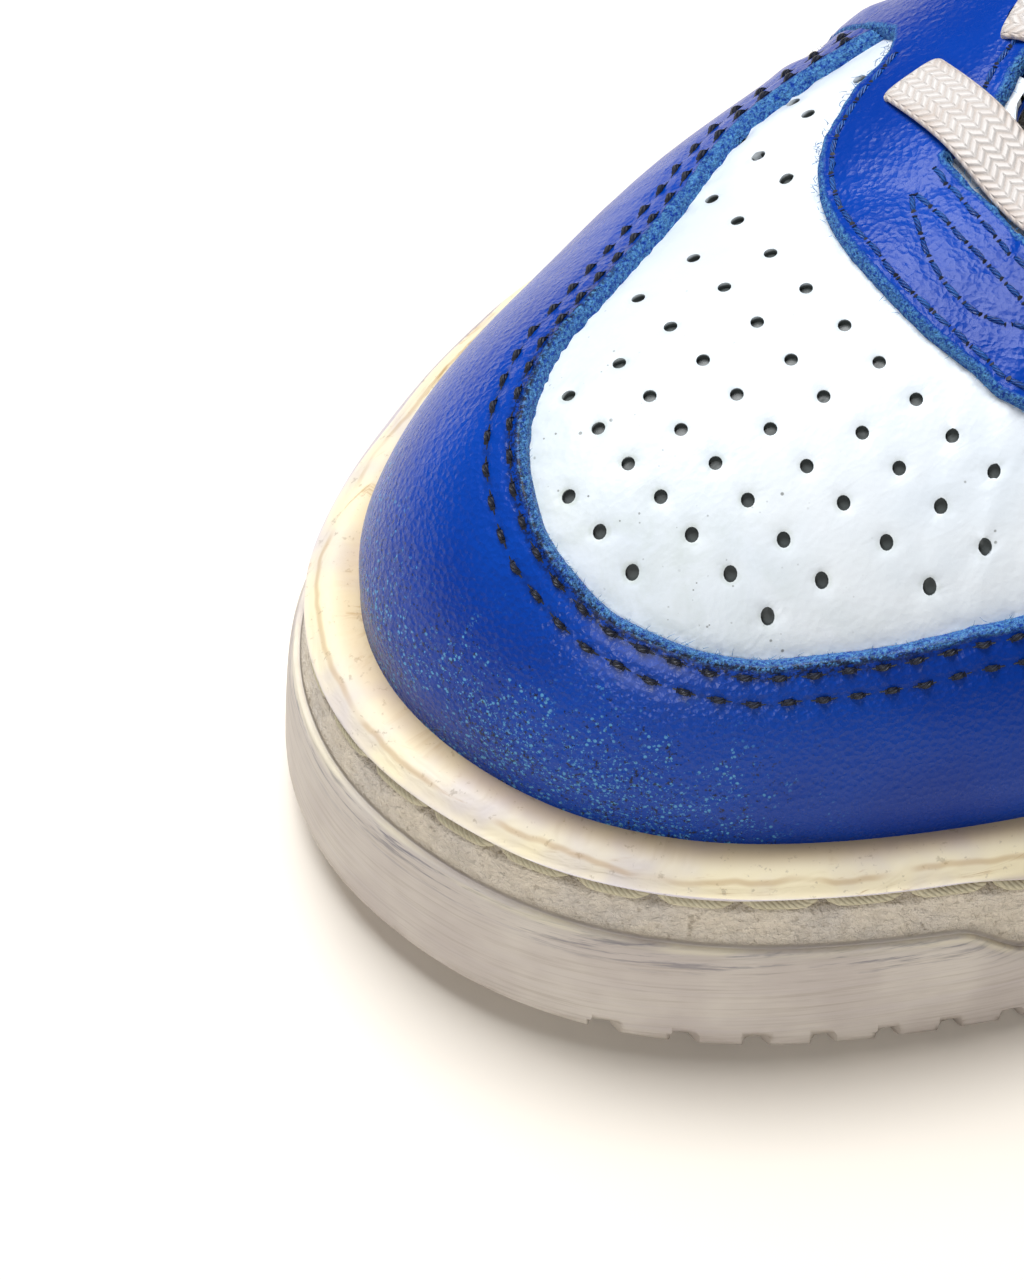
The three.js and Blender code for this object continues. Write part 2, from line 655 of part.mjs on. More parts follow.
// One ribbon from an eyelet on one side, over both edges of the opening, to an eyelet on the other side.
const ribbonSteps = 8;
const overEdge = 0.2; // where on its way from eyelet to eyelet a ribbon passes over the edge
const barPlaces = [
  vampPlace(medial, firstBar[0], -firstBar[1]),
  vampPlace(medial, firstEdge[0], -firstEdge[1]),
  vampPlace(lateral, ...firstEdge),
  vampPlace(lateral, ...firstBar),
];
const crossingPlaces = (side, from, to) => [
  eyeletPlace(side, from),
  edgePlace(side, mix(from, to, overEdge)),
  edgePlace(-side, mix(from, to, 1 - overEdge)),
  eyeletPlace(-side, to),
];
function ribbon(places, bow) {
  const lift = fit + overlay + laceClearance + laceThickness / 2;
  const raised = places.map(([point, normal]) => point.clone().addScaledVector(normal, lift));
  const end = (a, b) => a.clone().add(a.clone().sub(b).setLength(laceWidth * 0.3));
  const middle = raised[1].clone().lerp(raised[2], 0.5);
  middle.z += bow;
  const upright = new THREE.Vector3(0, 0, 1);
  const curve = new THREE.CatmullRomCurve3(
    [end(raised[0], raised[1]), raised[1], middle, raised[2], end(raised[3], raised[2])],
    false,
    "centripetal",
  );
  const normals = [places[0][1], places[1][1], upright, places[2][1], places[3][1]];
  const rings = [];
  for (let i = 0; i <= ribbonSteps; i += 1) {
    const u = i / ribbonSteps;
    const step = Math.min(3, Math.floor(u * 4));
    const normal = normals[step].clone().lerp(normals[step + 1], u * 4 - step);
    const along = curve.getTangent(u);
    const wide = along.clone().cross(normal).normalize();
    const flat = wide.clone().cross(along).normalize();
    const rounding = i === 0 || i === ribbonSteps ? 0.72 : 1;
    const corner = (a, b) =>
      curve
        .getPoint(u)
        .addScaledVector(wide, (a * laceWidth * rounding) / 2)
        .addScaledVector(flat, (b * laceThickness) / 2);
    rings.push([corner(-1, 1), corner(1, 1), corner(1, -1), corner(-1, -1)]);
  }
  return loft(rings);
}

const barBow = 1;
const crossingBow = 2;
const laceBarSolid = ribbon(barPlaces, barBow);
const laceCrossingsSolid = eyeletShares
  .slice(0, -1)
  .flatMap((share, i) => [
    ribbon(crossingPlaces(medial, share, eyeletShares[i + 1]), crossingBow),
    ribbon(crossingPlaces(lateral, share, eyeletShares[i + 1]), crossingBow),
  ])
  .reduce((all, one) => all.add(one));

const upperKeepOut = shell(fit, (share, rise) => innerOffset(share, rise) - fit);

const group = new THREE.Group();
function addPiece(name, solid, colour, roughness) {
  const material = new THREE.MeshStandardMaterial({ color: colour, roughness, metalness: 0 });
  const mesh = new THREE.Mesh(geometryFromSolid(solid), material);
  mesh.name = name;
  group.add(mesh);
}
addPiece("cupsole", soleSolid, 0xe6dfcd, 0.7);
addPiece("insole", insole(), 0xd9d6cf, 0.9);
addPiece("upper", upperSolid, 0xf2f3f5, 0.5);
addPiece("mudguard", mudguardSolid, 0x1f4fb5, 0.4);
addPiece("eyestay", eyestaySolid, 0x1f4fb5, 0.4);
addPiece("heel_counter", heelCounterSolid, 0x1f4fb5, 0.4);
addPiece("tongue", tongue().subtract(upperKeepOut), 0xe4e2dc, 0.9);
addPiece("lace_bar", laceBarSolid, 0xe9e5dc, 0.9);
addPiece("lace_crossings", laceCrossingsSolid, 0xe9e5dc, 0.9);

export default group;
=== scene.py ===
"""A worn low court sneaker for the left foot, dressed over its CAD frame.

Shapes are worked out in millimetres, in the CAD model's own frame: +X to the toe, +Y to the wearer's left
and +Z up, with the origin on the floor under the middle of the sole. Meshes are written in metres.
"""

import logging
import math
from dataclasses import dataclass, field
from enum import Enum
from typing import Any, Callable, Sequence

import bpy
import numpy as np
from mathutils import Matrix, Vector
from mathutils.bvhtree import BVHTree
from mathutils.geometry import delaunay_2d_cdt
from mathutils.kdtree import KDTree

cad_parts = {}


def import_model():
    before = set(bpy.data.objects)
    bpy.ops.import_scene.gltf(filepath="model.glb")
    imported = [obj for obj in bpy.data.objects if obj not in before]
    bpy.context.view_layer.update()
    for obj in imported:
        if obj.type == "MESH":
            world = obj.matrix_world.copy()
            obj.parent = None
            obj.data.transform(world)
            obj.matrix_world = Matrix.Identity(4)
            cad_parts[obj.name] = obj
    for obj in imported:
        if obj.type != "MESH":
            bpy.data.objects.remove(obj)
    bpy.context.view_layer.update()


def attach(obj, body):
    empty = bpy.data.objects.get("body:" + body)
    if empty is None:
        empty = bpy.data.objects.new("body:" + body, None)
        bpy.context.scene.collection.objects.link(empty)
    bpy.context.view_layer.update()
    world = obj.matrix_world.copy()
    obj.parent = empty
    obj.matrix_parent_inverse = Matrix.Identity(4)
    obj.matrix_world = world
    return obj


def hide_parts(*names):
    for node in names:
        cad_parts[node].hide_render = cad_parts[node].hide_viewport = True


Array = np.ndarray
Colour = tuple[float, float, float]
Places = Sequence[Sequence[float]]
Piece = bpy.types.Object
Material = bpy.types.Material
MM = 0.001
FAR = 9.0  # stands for every distance, in millimetres, past which an edge, a seam or a hole has no effect
LOG = logging.getLogger("sneaker")

# The sole's outline: a place as a share of its length, then shares of half the ball and half the heel width.
HEEL_TIP = (0, 0, 0)
TOE_TIP = (1, -0.13, 0)
LATERAL_ROWS = (
    (0.012, 0, 0.36), (0.045, 0, 0.68), (0.1, 0, 0.9), (0.18, 0, 1), (0.3, 0.12, 0.85), (0.42, 0.35, 0.58),
    (0.54, 0.65, 0.3), (0.66, 0.94, 0.05), (0.73, 1, 0), (0.8, 0.945, 0), (0.87, 0.79, 0),
    (0.925, 0.615, 0), (0.965, 0.41, 0), (0.99, 0.17, 0),
)
MEDIAL_ROWS = (
    (0.012, 0, -0.36), (0.045, 0, -0.68), (0.1, 0, -0.89), (0.18, 0, -0.985), (0.3, -0.1, -0.79),
    (0.42, -0.3, -0.52), (0.54, -0.6, -0.29), (0.66, -0.988, 0), (0.73, -0.996, 0), (0.8, -0.97, 0),
    (0.87, -0.872, 0), (0.925, -0.735, 0), (0.965, -0.575, 0), (0.99, -0.375, 0),
)
THROAT_FRONT = 0.795
FOOT_RISE = 0.12
# Each row: a share of the way round, then the heights of wall, channel and lip as shares of the cup's height.
WALL_ROWS = (
    (0, 0.63, 1.11, 1.37), (0.2, 0.56, 1, 1.26), (0.45, 0.445, 0.815, 1.075), (0.7, 0.445, 0.796, 1),
    (0.765, 0.445, 0.81, 1), (0.79, 0.63, 0.865, 1), (0.9, 0.64, 0.86, 1), (1, 0.64, 0.84, 1),
)


def smooth(s: Array | float) -> Array:
    """A soft step from 0 to 1."""
    s = np.clip(s, 0, 1)
    return s * s * (3 - 2 * s)


def mix(a: Any, b: Any, s: Any) -> Any:
    """The value a share s of the way from a to b."""
    return a + (b - a) * s


def unit(vectors: Array) -> Array:
    """The same directions at length 1."""
    return vectors / np.maximum(np.linalg.norm(vectors, axis=-1, keepdims=True), 1e-9)


class RowCurve:
    """A cubic through the rows' values, flat at each turning point, so that it never overshoots a row."""

    def __init__(self, rows: Places, column: int) -> None:
        """Works out the tangents at the rows.

        Args:
            rows: rows of numbers, the first of each being the place along the curve.
            column: which number of a row the curve follows.
        """
        self.x = np.array([row[0] for row in rows], float)
        self.y = np.array([row[column] for row in rows], float)
        slope = np.diff(self.y) / np.diff(self.x)
        product = slope[:-1] * slope[1:]
        total = np.where(np.abs(slope[:-1] + slope[1:]) < 1e-12, 1, slope[:-1] + slope[1:])
        inner = np.where(product <= 0, 0, 2 * product / total)
        self.tangent = np.concatenate([slope[:1], inner, slope[-1:]])

    def __call__(self, at: Array | float) -> Array:
        """The curve's value at one place or many."""
        s = np.clip(at, self.x[0], self.x[-1])
        i = np.clip(np.searchsorted(self.x, s, side="left") - 1, 0, len(self.x) - 2)
        span = self.x[i + 1] - self.x[i]
        u = (s - self.x[i]) / span
        rise = u * u * (3 - 2 * u)
        bend = self.tangent[i] * u * (1 - u) ** 2 - self.tangent[i + 1] * u * u * (1 - u)
        return self.y[i] * (1 - rise) + self.y[i + 1] * rise + span * bend


def catmull(points: Array, closed: bool, steps: int) -> Array:
    """A centripetal Catmull-Rom curve through points.

    Args:
        points: the points, one a row.
        closed: whether the curve comes back to its first point.
        steps: how many steps there are between two points.

    Returns:
        The curve's points, without the last one if it is closed.
    """
    p = np.asarray(points, float)
    if closed:
        p = np.vstack([p[-1], p, p[0], p[1]])
    else:
        p = np.vstack([2 * p[0] - p[1], p, 2 * p[-1] - p[-2]])
    found = []
    for a, b, c, d in zip(p[:-3], p[1:-2], p[2:-1], p[3:]):
        t0, t1, t2 = (max(np.linalg.norm(q - r) ** 0.5, 1e-6) for q, r in ((b, a), (c, b), (d, c)))
        m1 = ((b - a) / t0 - (c - a) / (t0 + t1) + (c - b) / t1) * t1
        m2 = ((c - b) / t1 - (d - b) / (t1 + t2) + (d - c) / t2) * t1
        u = (np.arange(steps) / steps)[:, None]
        found.append(b + m1 * u + (3 * (c - b) - 2 * m1 - m2) * u**2 + (2 * (b - c) + m1 + m2) * u**3)
    if not closed:
        found.append(p[-2:-1])
    return np.vstack(found)


def spline(points: Places, steps: int = 6) -> Array:
    """An open smooth curve through given points."""
    return catmull(np.array(points), False, steps)


def lengths(points: Array) -> Array:
    """How far along a line each of its points lies."""
    return np.concatenate([[0], np.cumsum(np.linalg.norm(np.diff(points, axis=0), axis=1))])


def points_at(at: Array, far: Array, line: Array) -> Array:
    """The places on a line at distances along it, where far holds its points' own distances."""
    return np.stack([np.interp(at, far, line[:, k]) for k in range(line.shape[1])], axis=-1)


def circle(count: int) -> Array:
    """Angles spread evenly over a full turn."""
    return np.linspace(0, 2 * np.pi, count, endpoint=False)


def resample(points: Array, spacing: float, closed: bool = False) -> Array:
    """The same line with its points an even distance apart, about spacing."""
    p = np.vstack([points, points[:1]]) if closed else np.asarray(points)
    far = lengths(p)
    count = max(2, int(round(far[-1] / spacing)))
    line = points_at(np.linspace(0, far[-1], count + 1), far, p)
    return line[:-1] if closed else line


def inside(points: Array, loop: Array) -> Array:
    """Which of the points lie in a closed plane loop."""
    x, y = points[:, :1], points[:, 1:2]
    ax, ay = loop[:, 0][None], loop[:, 1][None]
    bx, by = np.roll(loop[:, 0], -1)[None], np.roll(loop[:, 1], -1)[None]
    crosses = (ay > y) != (by > y)
    rise = np.where(by == ay, 1e-12, by - ay)
    return ((crosses & (x < (bx - ax) * (y - ay) / rise + ax)).sum(axis=1) % 2) == 1


def gaps_from(cloud: Array) -> Callable[[Array], Array]:
    """A function that says how far points are from the nearest point of a cloud, in a plane or in space."""
    tree = KDTree(len(cloud))
    for i, place in enumerate(cloud):
        tree.insert(Vector(place).to_3d(), i)
    tree.balance()
    return lambda points: np.array([tree.find(Vector(place).to_3d())[2] for place in points])


@dataclass
class Mesher:
    """Points, faces and what they carry, gathered for one mesh."""

    points: list[Array] = field(default_factory=list)
    faces: list[Array] = field(default_factory=list)
    slots: list[Array] = field(default_factory=list)
    values: dict[str, list[Array]] = field(default_factory=dict)
    count: int = 0

    def add(self, points: Array, faces: Array, slot: int | Array = 0, **values: Array) -> None:
        """Adds a part.

        Args:
            points: its points in millimetres, n by 3.
            faces: its faces, m by 3 or 4, numbered from its own first point.
            slot: the material slot, one for all faces or one each.
            values: named numbers, one for each point.
        """
        self.points.append(np.asarray(points, float))
        self.faces.append(np.asarray(faces) + self.count)
        self.slots.append(np.broadcast_to(slot, (len(faces),)))
        for name, value in values.items():
            self.values.setdefault(name, []).append(np.broadcast_to(value, (len(points),)))
        self.count += len(points)

    def sheet(self, grid: Array, around: bool = False, flip: bool = False, slot: int | Array = 0,
              **values: Array) -> None:
        """Adds a sheet.

        Args:
            grid: its points, rows by columns by 3.
            around: whether each row closes on itself.
            flip: whether its faces turn over.
            slot: the material slot, one for all faces or one each.
            values: named numbers that fit the grid, such as one for each column.
        """
        shape = grid.shape[:2]
        carried = {name: np.broadcast_to(value, shape).ravel() for name, value in values.items()}
        self.add(grid.reshape(-1, 3), grid_faces(*shape, around, flip), slot, **carried)

    def close(self, faces: Sequence[Sequence[int]]) -> None:
        """Adds faces over points that are there already, each without the corners that it repeats."""
        faces = [tuple(dict.fromkeys(face)) for face in faces]
        for size in sorted({len(face) for face in faces}):
            self.faces.append(np.array([face for face in faces if len(face) == size]))
            self.slots.append(np.zeros(len(self.faces[-1]), int))

    def build(self, name: str, finishes: Sequence[Material], angle: float = 50) -> Piece:
        """Makes the object.

        Args:
            name: its name.
            finishes: its materials, in the order of the slots.
            angle: edges sharper than this many degrees stay sharp.

        Returns:
            The new object, at the origin.
        """
        verts = np.vstack(self.points) * MM
        faces = [tuple(int(i) for i in face) for part in self.faces for face in part]
        mesh = bpy.data.meshes.new(name)
        mesh.from_pydata(verts.tolist(), [], faces)
        for finish in finishes:
            mesh.materials.append(finish)
        mesh.polygons.foreach_set("material_index", np.concatenate(self.slots).astype(np.int32))
        for key, parts in self.values.items():
            if key not in ("u", "v"):
                layer = mesh.attributes.new(key, "FLOAT", "POINT")
                layer.data.foreach_set("value", np.concatenate(parts).astype(np.float32))
        if "u" in self.values:
            uv = np.stack([np.concatenate(self.values["u"]), np.concatenate(self.values["v"])], axis=1)
            corner = np.empty(len(mesh.loops), np.int32)
            mesh.loops.foreach_get("vertex_index", corner)
            mesh.uv_layers.new(name="run").data.foreach_set("uv", uv[corner].astype(np.float32).ravel())
        mesh.update()
        mesh.shade_smooth()
        piece = bpy.data.objects.new(name, mesh)
        bpy.context.collection.objects.link(piece)
        choose(piece)
        bpy.ops.object.shade_smooth_by_angle(angle=math.radians(angle))
        piece.select_set(False)
        return piece


def choose(piece: Piece) -> None:
    """Makes one object the only selected one, and the active one."""
    bpy.ops.object.select_all(action="DESELECT")
    piece.select_set(True)
    bpy.context.view_layer.objects.active = piece


def turn_outward(piece: Piece) -> None:
    """Turns a closed mesh's faces outward."""
    choose(piece)
    bpy.ops.object.mode_set(mode="EDIT")
    bpy.ops.mesh.select_all(action="SELECT")
    bpy.ops.mesh.normals_make_consistent(inside=False)
    bpy.ops.object.mode_set(mode="OBJECT")


def dress(piece: Piece, node: str) -> Piece:
    """Hides the CAD node that a piece replaces, hangs the piece on the root and hands it back."""
    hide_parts(node)
    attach(piece, "root")
    return piece


def grid_faces(rows: int, columns: int, around: bool = False, flip: bool = False) -> Array:
    """Four-sided faces over a grid of points.

    Args:
        rows: how many rows of points there are.
        columns: how many points there are in a row.
        around: whether each row closes on itself.
        flip: whether the faces turn over.

    Returns:
        The faces, numbered row by row.
    """
    wide = columns if around else columns - 1
    i, j = np.meshgrid(np.arange(rows - 1), np.arange(wide), indexing="ij")
    n = (j + 1) % columns
    quads = np.stack([i * columns + j, i * columns + n, (i + 1) * columns + n, (i + 1) * columns + j], axis=-1)
    return quads.reshape(-1, 4)[:, ::-1] if flip else quads.reshape(-1, 4)


def lap(count: int) -> tuple[Array, Array]:
    """Sides and shares of places all the way round the last, count of them on each side of the toe's tip."""
    share = np.concatenate([np.linspace(0, 1, count), np.linspace(1, 0, count)[1:]])
    return np.repeat((1.0, -1.0), (count, count - 1)), share


def fan_faces(count: int) -> Array:
    """Three-sided faces from the middle point, numbered last, to a ring of points."""
    return np.array([(count, i, (i + 1) % count) for i in range(count)])


def rings(centres: Array, wide: Array, high: Array, turn: Array, radius: Array | float = 1) -> Array:
    """Rings of points round a path.

    Args:
        centres: the path's points.
        wide: a direction across the path at each of them.
        high: the other direction across it.
        turn: the angles of a ring's points.
        radius: of the rings, one for all or one each.

    Returns:
        The points, ring by ring, as n by m by 3.
    """
    ring = wide[:, None] * np.cos(turn)[None, :, None] + high[:, None] * np.sin(turn)[None, :, None]
    return centres[:, None] + ring * np.broadcast_to(radius, (len(centres),))[:, None, None]


@dataclass
class Last:
    """The foot form that every piece of the shoe is drawn on."""

    sole_length: float = 298
    ball_width: float = 109.5
    heel_width: float = 80
    heel_height: float = 97
    ankle_height: float = 70
    instep_height: float = 103
    throat_height: float = 69.5
    toe_height: float = 64
    toe_spring: float = 5
    heel_bevel: float = 3
    arch_lift: float = 1.6
    forefoot_thickness: float = 11
    heel_thickness: float = 19
    leather: float = 2
    fit: float = 0.3
    collar_pad: float = 5
    feather_inset: float = 9
    cup_height: float = 27
    ridge_shift: float = -0.13
    low_lean: float = 6
    spread: float = 35
    chart_round: int = 320
    chart_rise: int = 64

    def __post_init__(self) -> None:
        """Works out the curves, the outline and the two charts."""
        size, half = self.sole_length, self.ball_width / 2
        heel, ankle, instep = self.heel_height, self.ankle_height, self.instep_height
        throat, toe = self.throat_height, self.toe_height
        rows = (
            (0, -0.462, 0, heel, 0.5, 0.3, 96), (0.05, -0.456, 0.17, 0.995 * heel, 0.5, 0.3, 96),
            (0.1, -0.43, 0.35, 0.955 * heel, 0.5, 0.3, 94), (0.17, -0.375, 0.5, 1.17 * ankle, 0.5, 0.3, 92),
            (0.27, -0.285, 0.59, ankle, 0.5, 0.3, 88), (0.36, -0.205, 0.58, 1.09 * ankle, 0.5, 0.3, 84),
            (0.43, -0.14, 0.5, 0.9 * instep, 0.5, 0.33, 72), (0.475, -0.105, 0.41, instep, 0.52, 0.38, 56),
            (0.53, -0.055, 0.35, 0.945 * instep, 0.54, 0.43, 42),
            (0.61, 0.025, 0.29, 0.84 * instep, 0.56, 0.48, 30),
            (0.69, 0.105, 0.25, 1.1 * throat, 0.6, 0.52, 20), (0.75, 0.17, 0.23, 1.025 * throat, 0.63, 0.54, 15),
            (0.78, 0.2, 0.17, throat, 0.65, 0.55, 8), (THROAT_FRONT, 0.21, 0, 0.99 * throat, 0.67, 0.56, 0),
            (0.84, 0.262, 0, 1.045 * toe, 0.69, 0.58, 0), (0.9, 0.33, 0, 1.012 * toe, 0.7, 0.59, 0),
            (0.93, 0.345, 0, toe, 0.7, 0.59, 0), (1, 0.345, 0, toe, 0.7, 0.59, 0),
        )
        rows = [(r[0], r[1] * size, r[2] * half, *r[3:]) for r in rows]
        self.top = [RowCurve(rows, column) for column in range(1, 7)]
        ridge = [(r[1], r[3]) for r in rows if THROAT_FRONT <= r[0] <= 0.93]
        self.ridge_height = RowCurve(ridge, 1)
        edge = [(r[1], r[3]) for r in rows if 0.475 <= r[0] <= 0.93]
        self.edge_height = RowCurve(sorted(edge), 1)
        tread = (
            (-0.5, self.heel_bevel), (-0.47, 0.35 * self.heel_bevel), (-0.42, 0), (-0.14, 0),
            (-0.02, self.arch_lift), (0.1, 0), (0.27, 0), (0.35, 0.13 * self.toe_spring),
            (0.43, 0.47 * self.toe_spring), (0.5, self.toe_spring),
        )
        self.tread_height = RowCurve([(a * size, b) for a, b in tread], 1)
        bed = ((-0.5, self.heel_thickness), (-0.3, self.heel_thickness), (0.15, self.forefoot_thickness),
               (0.5, self.forefoot_thickness))
        self.footbed_thickness = RowCurve([(a * size, b) for a, b in bed], 1)
        self.halves = self._halves()
        self._charts()

    def _halves(self) -> dict[int, tuple[Array, Array, Array]]:
        """Each side's half of the outline: share of the way, points and outward directions."""
        places = [HEEL_TIP, *LATERAL_ROWS, TOE_TIP, *MEDIAL_ROWS[::-1]]
        points = [((a - 0.5) * self.sole_length, (b * self.ball_width + c * self.heel_width) / 2)
                  for a, b, c in places]
        steps = 80
        curve = catmull(np.array(points), True, steps)
        along = np.roll(curve, -16, axis=0) - np.roll(curve, 16, axis=0)
        for _ in range(24):
            along = (np.roll(along, 1, axis=0) + along + np.roll(along, -1, axis=0)) / 3
        outward = unit(np.stack([-along[:, 1], along[:, 0]], axis=1))
        turn = (len(LATERAL_ROWS) + 1) * steps
        halves = {}
        for side in (1, -1):
            line, out = (
                table[: turn + 1] if side > 0 else np.vstack([table[:1], table[turn:][::-1]])
                for table in (curve, outward)
            )
            far, shares = lengths(line), np.linspace(0, 1, 1501)
            even, ways = (points_at(shares * far[-1], far, table) for table in (line, out))
            halves[side] = (shares, even, unit(ways))
        return halves

    def outline(self, side: Array, share: Array) -> tuple[Array, Array]:
        """The sole's outline in plan: its points and outward directions, as n by 2."""
        side, share = np.broadcast_arrays(side, share)
        found = []
        for column in (1, 2):
            sides = [points_at(share, self.halves[s][0], self.halves[s][column]) for s in (1, -1)]
            found.append(np.where((side > 0)[..., None], *sides))
        return found[0], unit(found[1])

    def footbed_height(self, x: Array) -> Array:
        """The footbed's height above the floor."""
        return self.tread_height(x) + self.footbed_thickness(x)

    def ridge_y(self, x: Array) -> Array:
        """How far the toe's ridge leans to the big toe."""
        return self.ridge_shift * self.ball_width / 2 * smooth((x / self.sole_length - 0.2) / 0.16)

    def ridge_slope(self, x: Array) -> Array:
        """How steeply the toe's ridge climbs along the shoe."""
        return (self.ridge_height(x + 1) - self.ridge_height(x - 1)) / 2

    def top_point(self, side: Array, share: Array) -> Array:
        """The upper's top edge, or the toe's ridge where the upper is closed."""
        x = self.top[0](share)
        closed = share >= THROAT_FRONT - 1e-9
        y = np.where(closed, self.ridge_y(x), side * self.top[1](share))
        z = np.where(closed, self.ridge_height(x), self.top[2](share))
        return np.stack([x, y, z], axis=-1)

    def surface(self, side: Array, share: Array, rise: Array) -> Array:
        """The upper's outer surface, up from the sole at rise 0 to its top edge or ridge at rise 1."""
        side, share, rise = np.broadcast_arrays(side, share, rise)
        points = self._sheet(side, share, rise)
        near = share > 0.735
        if not near.any():
            return points
        part, here, height = side[near], share[near], rise[near]
        room = np.minimum(0.015, np.abs(here - THROAT_FRONT) / 2)
        step = mix(0.015, room, smooth((height - 0.74) / 0.2)) * smooth((here - 0.735) / 0.035)
        total = 6 * points[near]
        for reach, weight in ((-2, 1), (-1, 4), (1, 4), (2, 1)):
            total = total + weight * self._sheet(part, here + reach * step, height)
        points[near] = total / 16
        return points

    def _sheet(self, side: Array, share: Array, rise: Array) -> Array:
        """The surface before its folds beside the throat and the toe are eased."""
        past = (share < 0) | (share > 1)
        side = np.where(past, -side, side)
        share = np.where(share < 0, -share, np.where(share > 1, 2 - share, share))
        closed = share >= THROAT_FRONT - 1e-9
        over = (rise > 1) & closed
        side = np.where(over, -side, side)
        rise = np.clip(np.where(over, 2 - rise, rise), 0, 1)
        point, outward = self.outline(side, share)
        foot = np.concatenate([point - outward * self.feather_inset, np.zeros((*share.shape, 1))], axis=-1)
        foot[..., 2] = self.footbed_height(foot[..., 0])
        top = self.top_point(side, share)
        flat = (top - foot)[..., :2]
        reach = np.linalg.norm(flat, axis=-1)
        inward = flat / np.maximum(reach, 1e-9)[..., None]
        height = top[..., 2] - foot[..., 2]
        lean, tilt = math.radians(self.low_lean), np.radians(self.top[5](share))
        leave = np.concatenate([outward * math.sin(lean), np.full((*share.shape, 1), math.cos(lean))], axis=-1)
        climb = np.where(closed, self.ridge_slope(top[..., 0]) * inward[..., 0] * np.cos(tilt), np.sin(tilt))
        arrive = np.concatenate([inward * np.cos(tilt)[..., None], climb[..., None]], axis=-1)
        arm = np.hypot(reach * np.cos(tilt), height * np.sin(tilt))
        low = foot + leave * (self.top[3](share) * height)[..., None]
        high = top - arrive * (self.top[4](share) * arm)[..., None]
        t = rise[..., None]
        return foot * (1 - t) ** 3 + 3 * low * t * (1 - t) ** 2 + 3 * high * t**2 * (1 - t) + top * t**3

    def normal(self, side: Array, share: Array, rise: Array) -> Array:
        """The outward direction of the upper's surface."""
        side, share, rise = np.broadcast_arrays(side, share, rise)
        up = self.surface(side, share, rise + 0.01) - self.surface(side, share, rise - 0.01)
        round_ = self.surface(side, share + 0.004, rise) - self.surface(side, share - 0.004, rise)
        normal = unit(np.cross(up, round_) * side[..., None])
        x = self.top[0](share)
        ridge = unit(np.stack([-self.ridge_slope(x), np.zeros(x.shape), np.ones(x.shape)], axis=-1))
        closed = smooth((share - 0.86) / 0.06) * smooth((rise - 0.86) / 0.12)
        return unit(mix(normal, ridge, closed[..., None]))

    def place(self, side: Array, share: Array, rise: Array, offset: Array | float) -> Array:
        """A point at a distance outside the upper's surface."""
        points = self.surface(side, share, rise)
        return points + self.normal(side, share, rise) * np.broadcast_to(offset, points.shape[:-1])[..., None]

    def flat(self, side: Array, share: Array, rise: Array) -> Array:
        """The surface opened out into a plane pattern, on which pieces are cut."""
        side, share, rise = np.broadcast_arrays(side, share, rise)
        point, outward = self.outline(side, share)
        low = point + outward * (self.spread - self.feather_inset)
        top = self.top_point(side, share)[..., :2]
        return mix(top, low, (1 - rise)[..., None])

    def _charts(self) -> None:
        """Builds the search trees from the surface and from the pattern to places on the last."""
        n, m = self.chart_round, self.chart_rise
        share, rise = np.meshgrid(np.linspace(0, 1, n), np.linspace(0, 1, m), indexing="ij")
        spots, solids, flats, faces = [], [], [], []
        for k, side in enumerate((1, -1)):
            spots.append(np.stack([np.full(share.shape, side), share, rise], -1).reshape(-1, 3))
            solids.append(self.surface(side, share, rise).reshape(-1, 3))
            flats.append(self.flat(side, share, rise).reshape(-1, 2))
            quads = grid_faces(n, m) + k * n * m
            faces += [quads[:, [0, 1, 2]], quads[:, [0, 2, 3]]]
        self.spots, self.solid, flat = np.vstack(spots), np.vstack(solids), np.vstack(flats)
        self.plane = np.column_stack([flat, np.zeros(len(flat))])
        self.faces = np.vstack(faces)
        listed = self.faces.tolist()
        self.solid_tree = BVHTree.FromPolygons(self.solid.tolist(), listed)
        self.plane_tree = BVHTree.FromPolygons(self.plane.tolist(), listed)

    def _spots(self, hits: Sequence[tuple], points: Array) -> Array:
        """Side, share and rise at the hits of a search tree."""
        where = np.array([hit[0] for hit in hits], float)
        corners = self.faces[np.array([hit[2] for hit in hits])]
        a, b, c = (points[corners[:, k]] for k in range(3))
        ab, ac, ap = b - a, c - a, where - a
        d00, d01, d11 = (ab * ab).sum(1), (ab * ac).sum(1), (ac * ac).sum(1)
        d20, d21 = (ap * ab).sum(1), (ap * ac).sum(1)
        area = np.maximum(d00 * d11 - d01 * d01, 1e-14)
        v, w = (d11 * d20 - d01 * d21) / area, (d00 * d21 - d01 * d20) / area
        weights = np.stack([1 - v - w, v, w], axis=1)[..., None]
        spots = (self.spots[corners] * weights).sum(axis=1)
        spots[:, 0] = self.spots[corners[:, 0], 0]
        spots[:, 1:] = np.clip(spots[:, 1:], 0, 1)
        return spots

    def lift(self, pattern: Array) -> Array:
        """Side, share and rise under points of the plane pattern."""
        return self._spots([self.plane_tree.find_nearest((x, y, 0)) for x, y in pattern], self.plane)

    def over(self, plan: Places) -> Array:
        """Side, share and rise straight under points drawn in plan."""
        return self._seen([((x, y, 300), (0, 0, -1), (x, y, 30)) for x, y in plan])

    def beside(self, side: int, drawn: Places) -> Array:
        """Side, share and rise behind points drawn from one side, as x and z."""
        return self._seen([((x, side * 200, z), (0, -side, 0), (x, side * 40, z)) for x, z in drawn])

    def _seen(self, rays: Sequence[tuple]) -> Array:
        """Side, share and rise where rays first meet the surface, or nearest their fallback points."""
        hits = []
        for start, way, fallback in rays:
            hit = self.solid_tree.ray_cast(start, way)
            hits.append(hit if hit[0] else self.solid_tree.find_nearest(fallback))
        return self._spots(hits, self.solid)

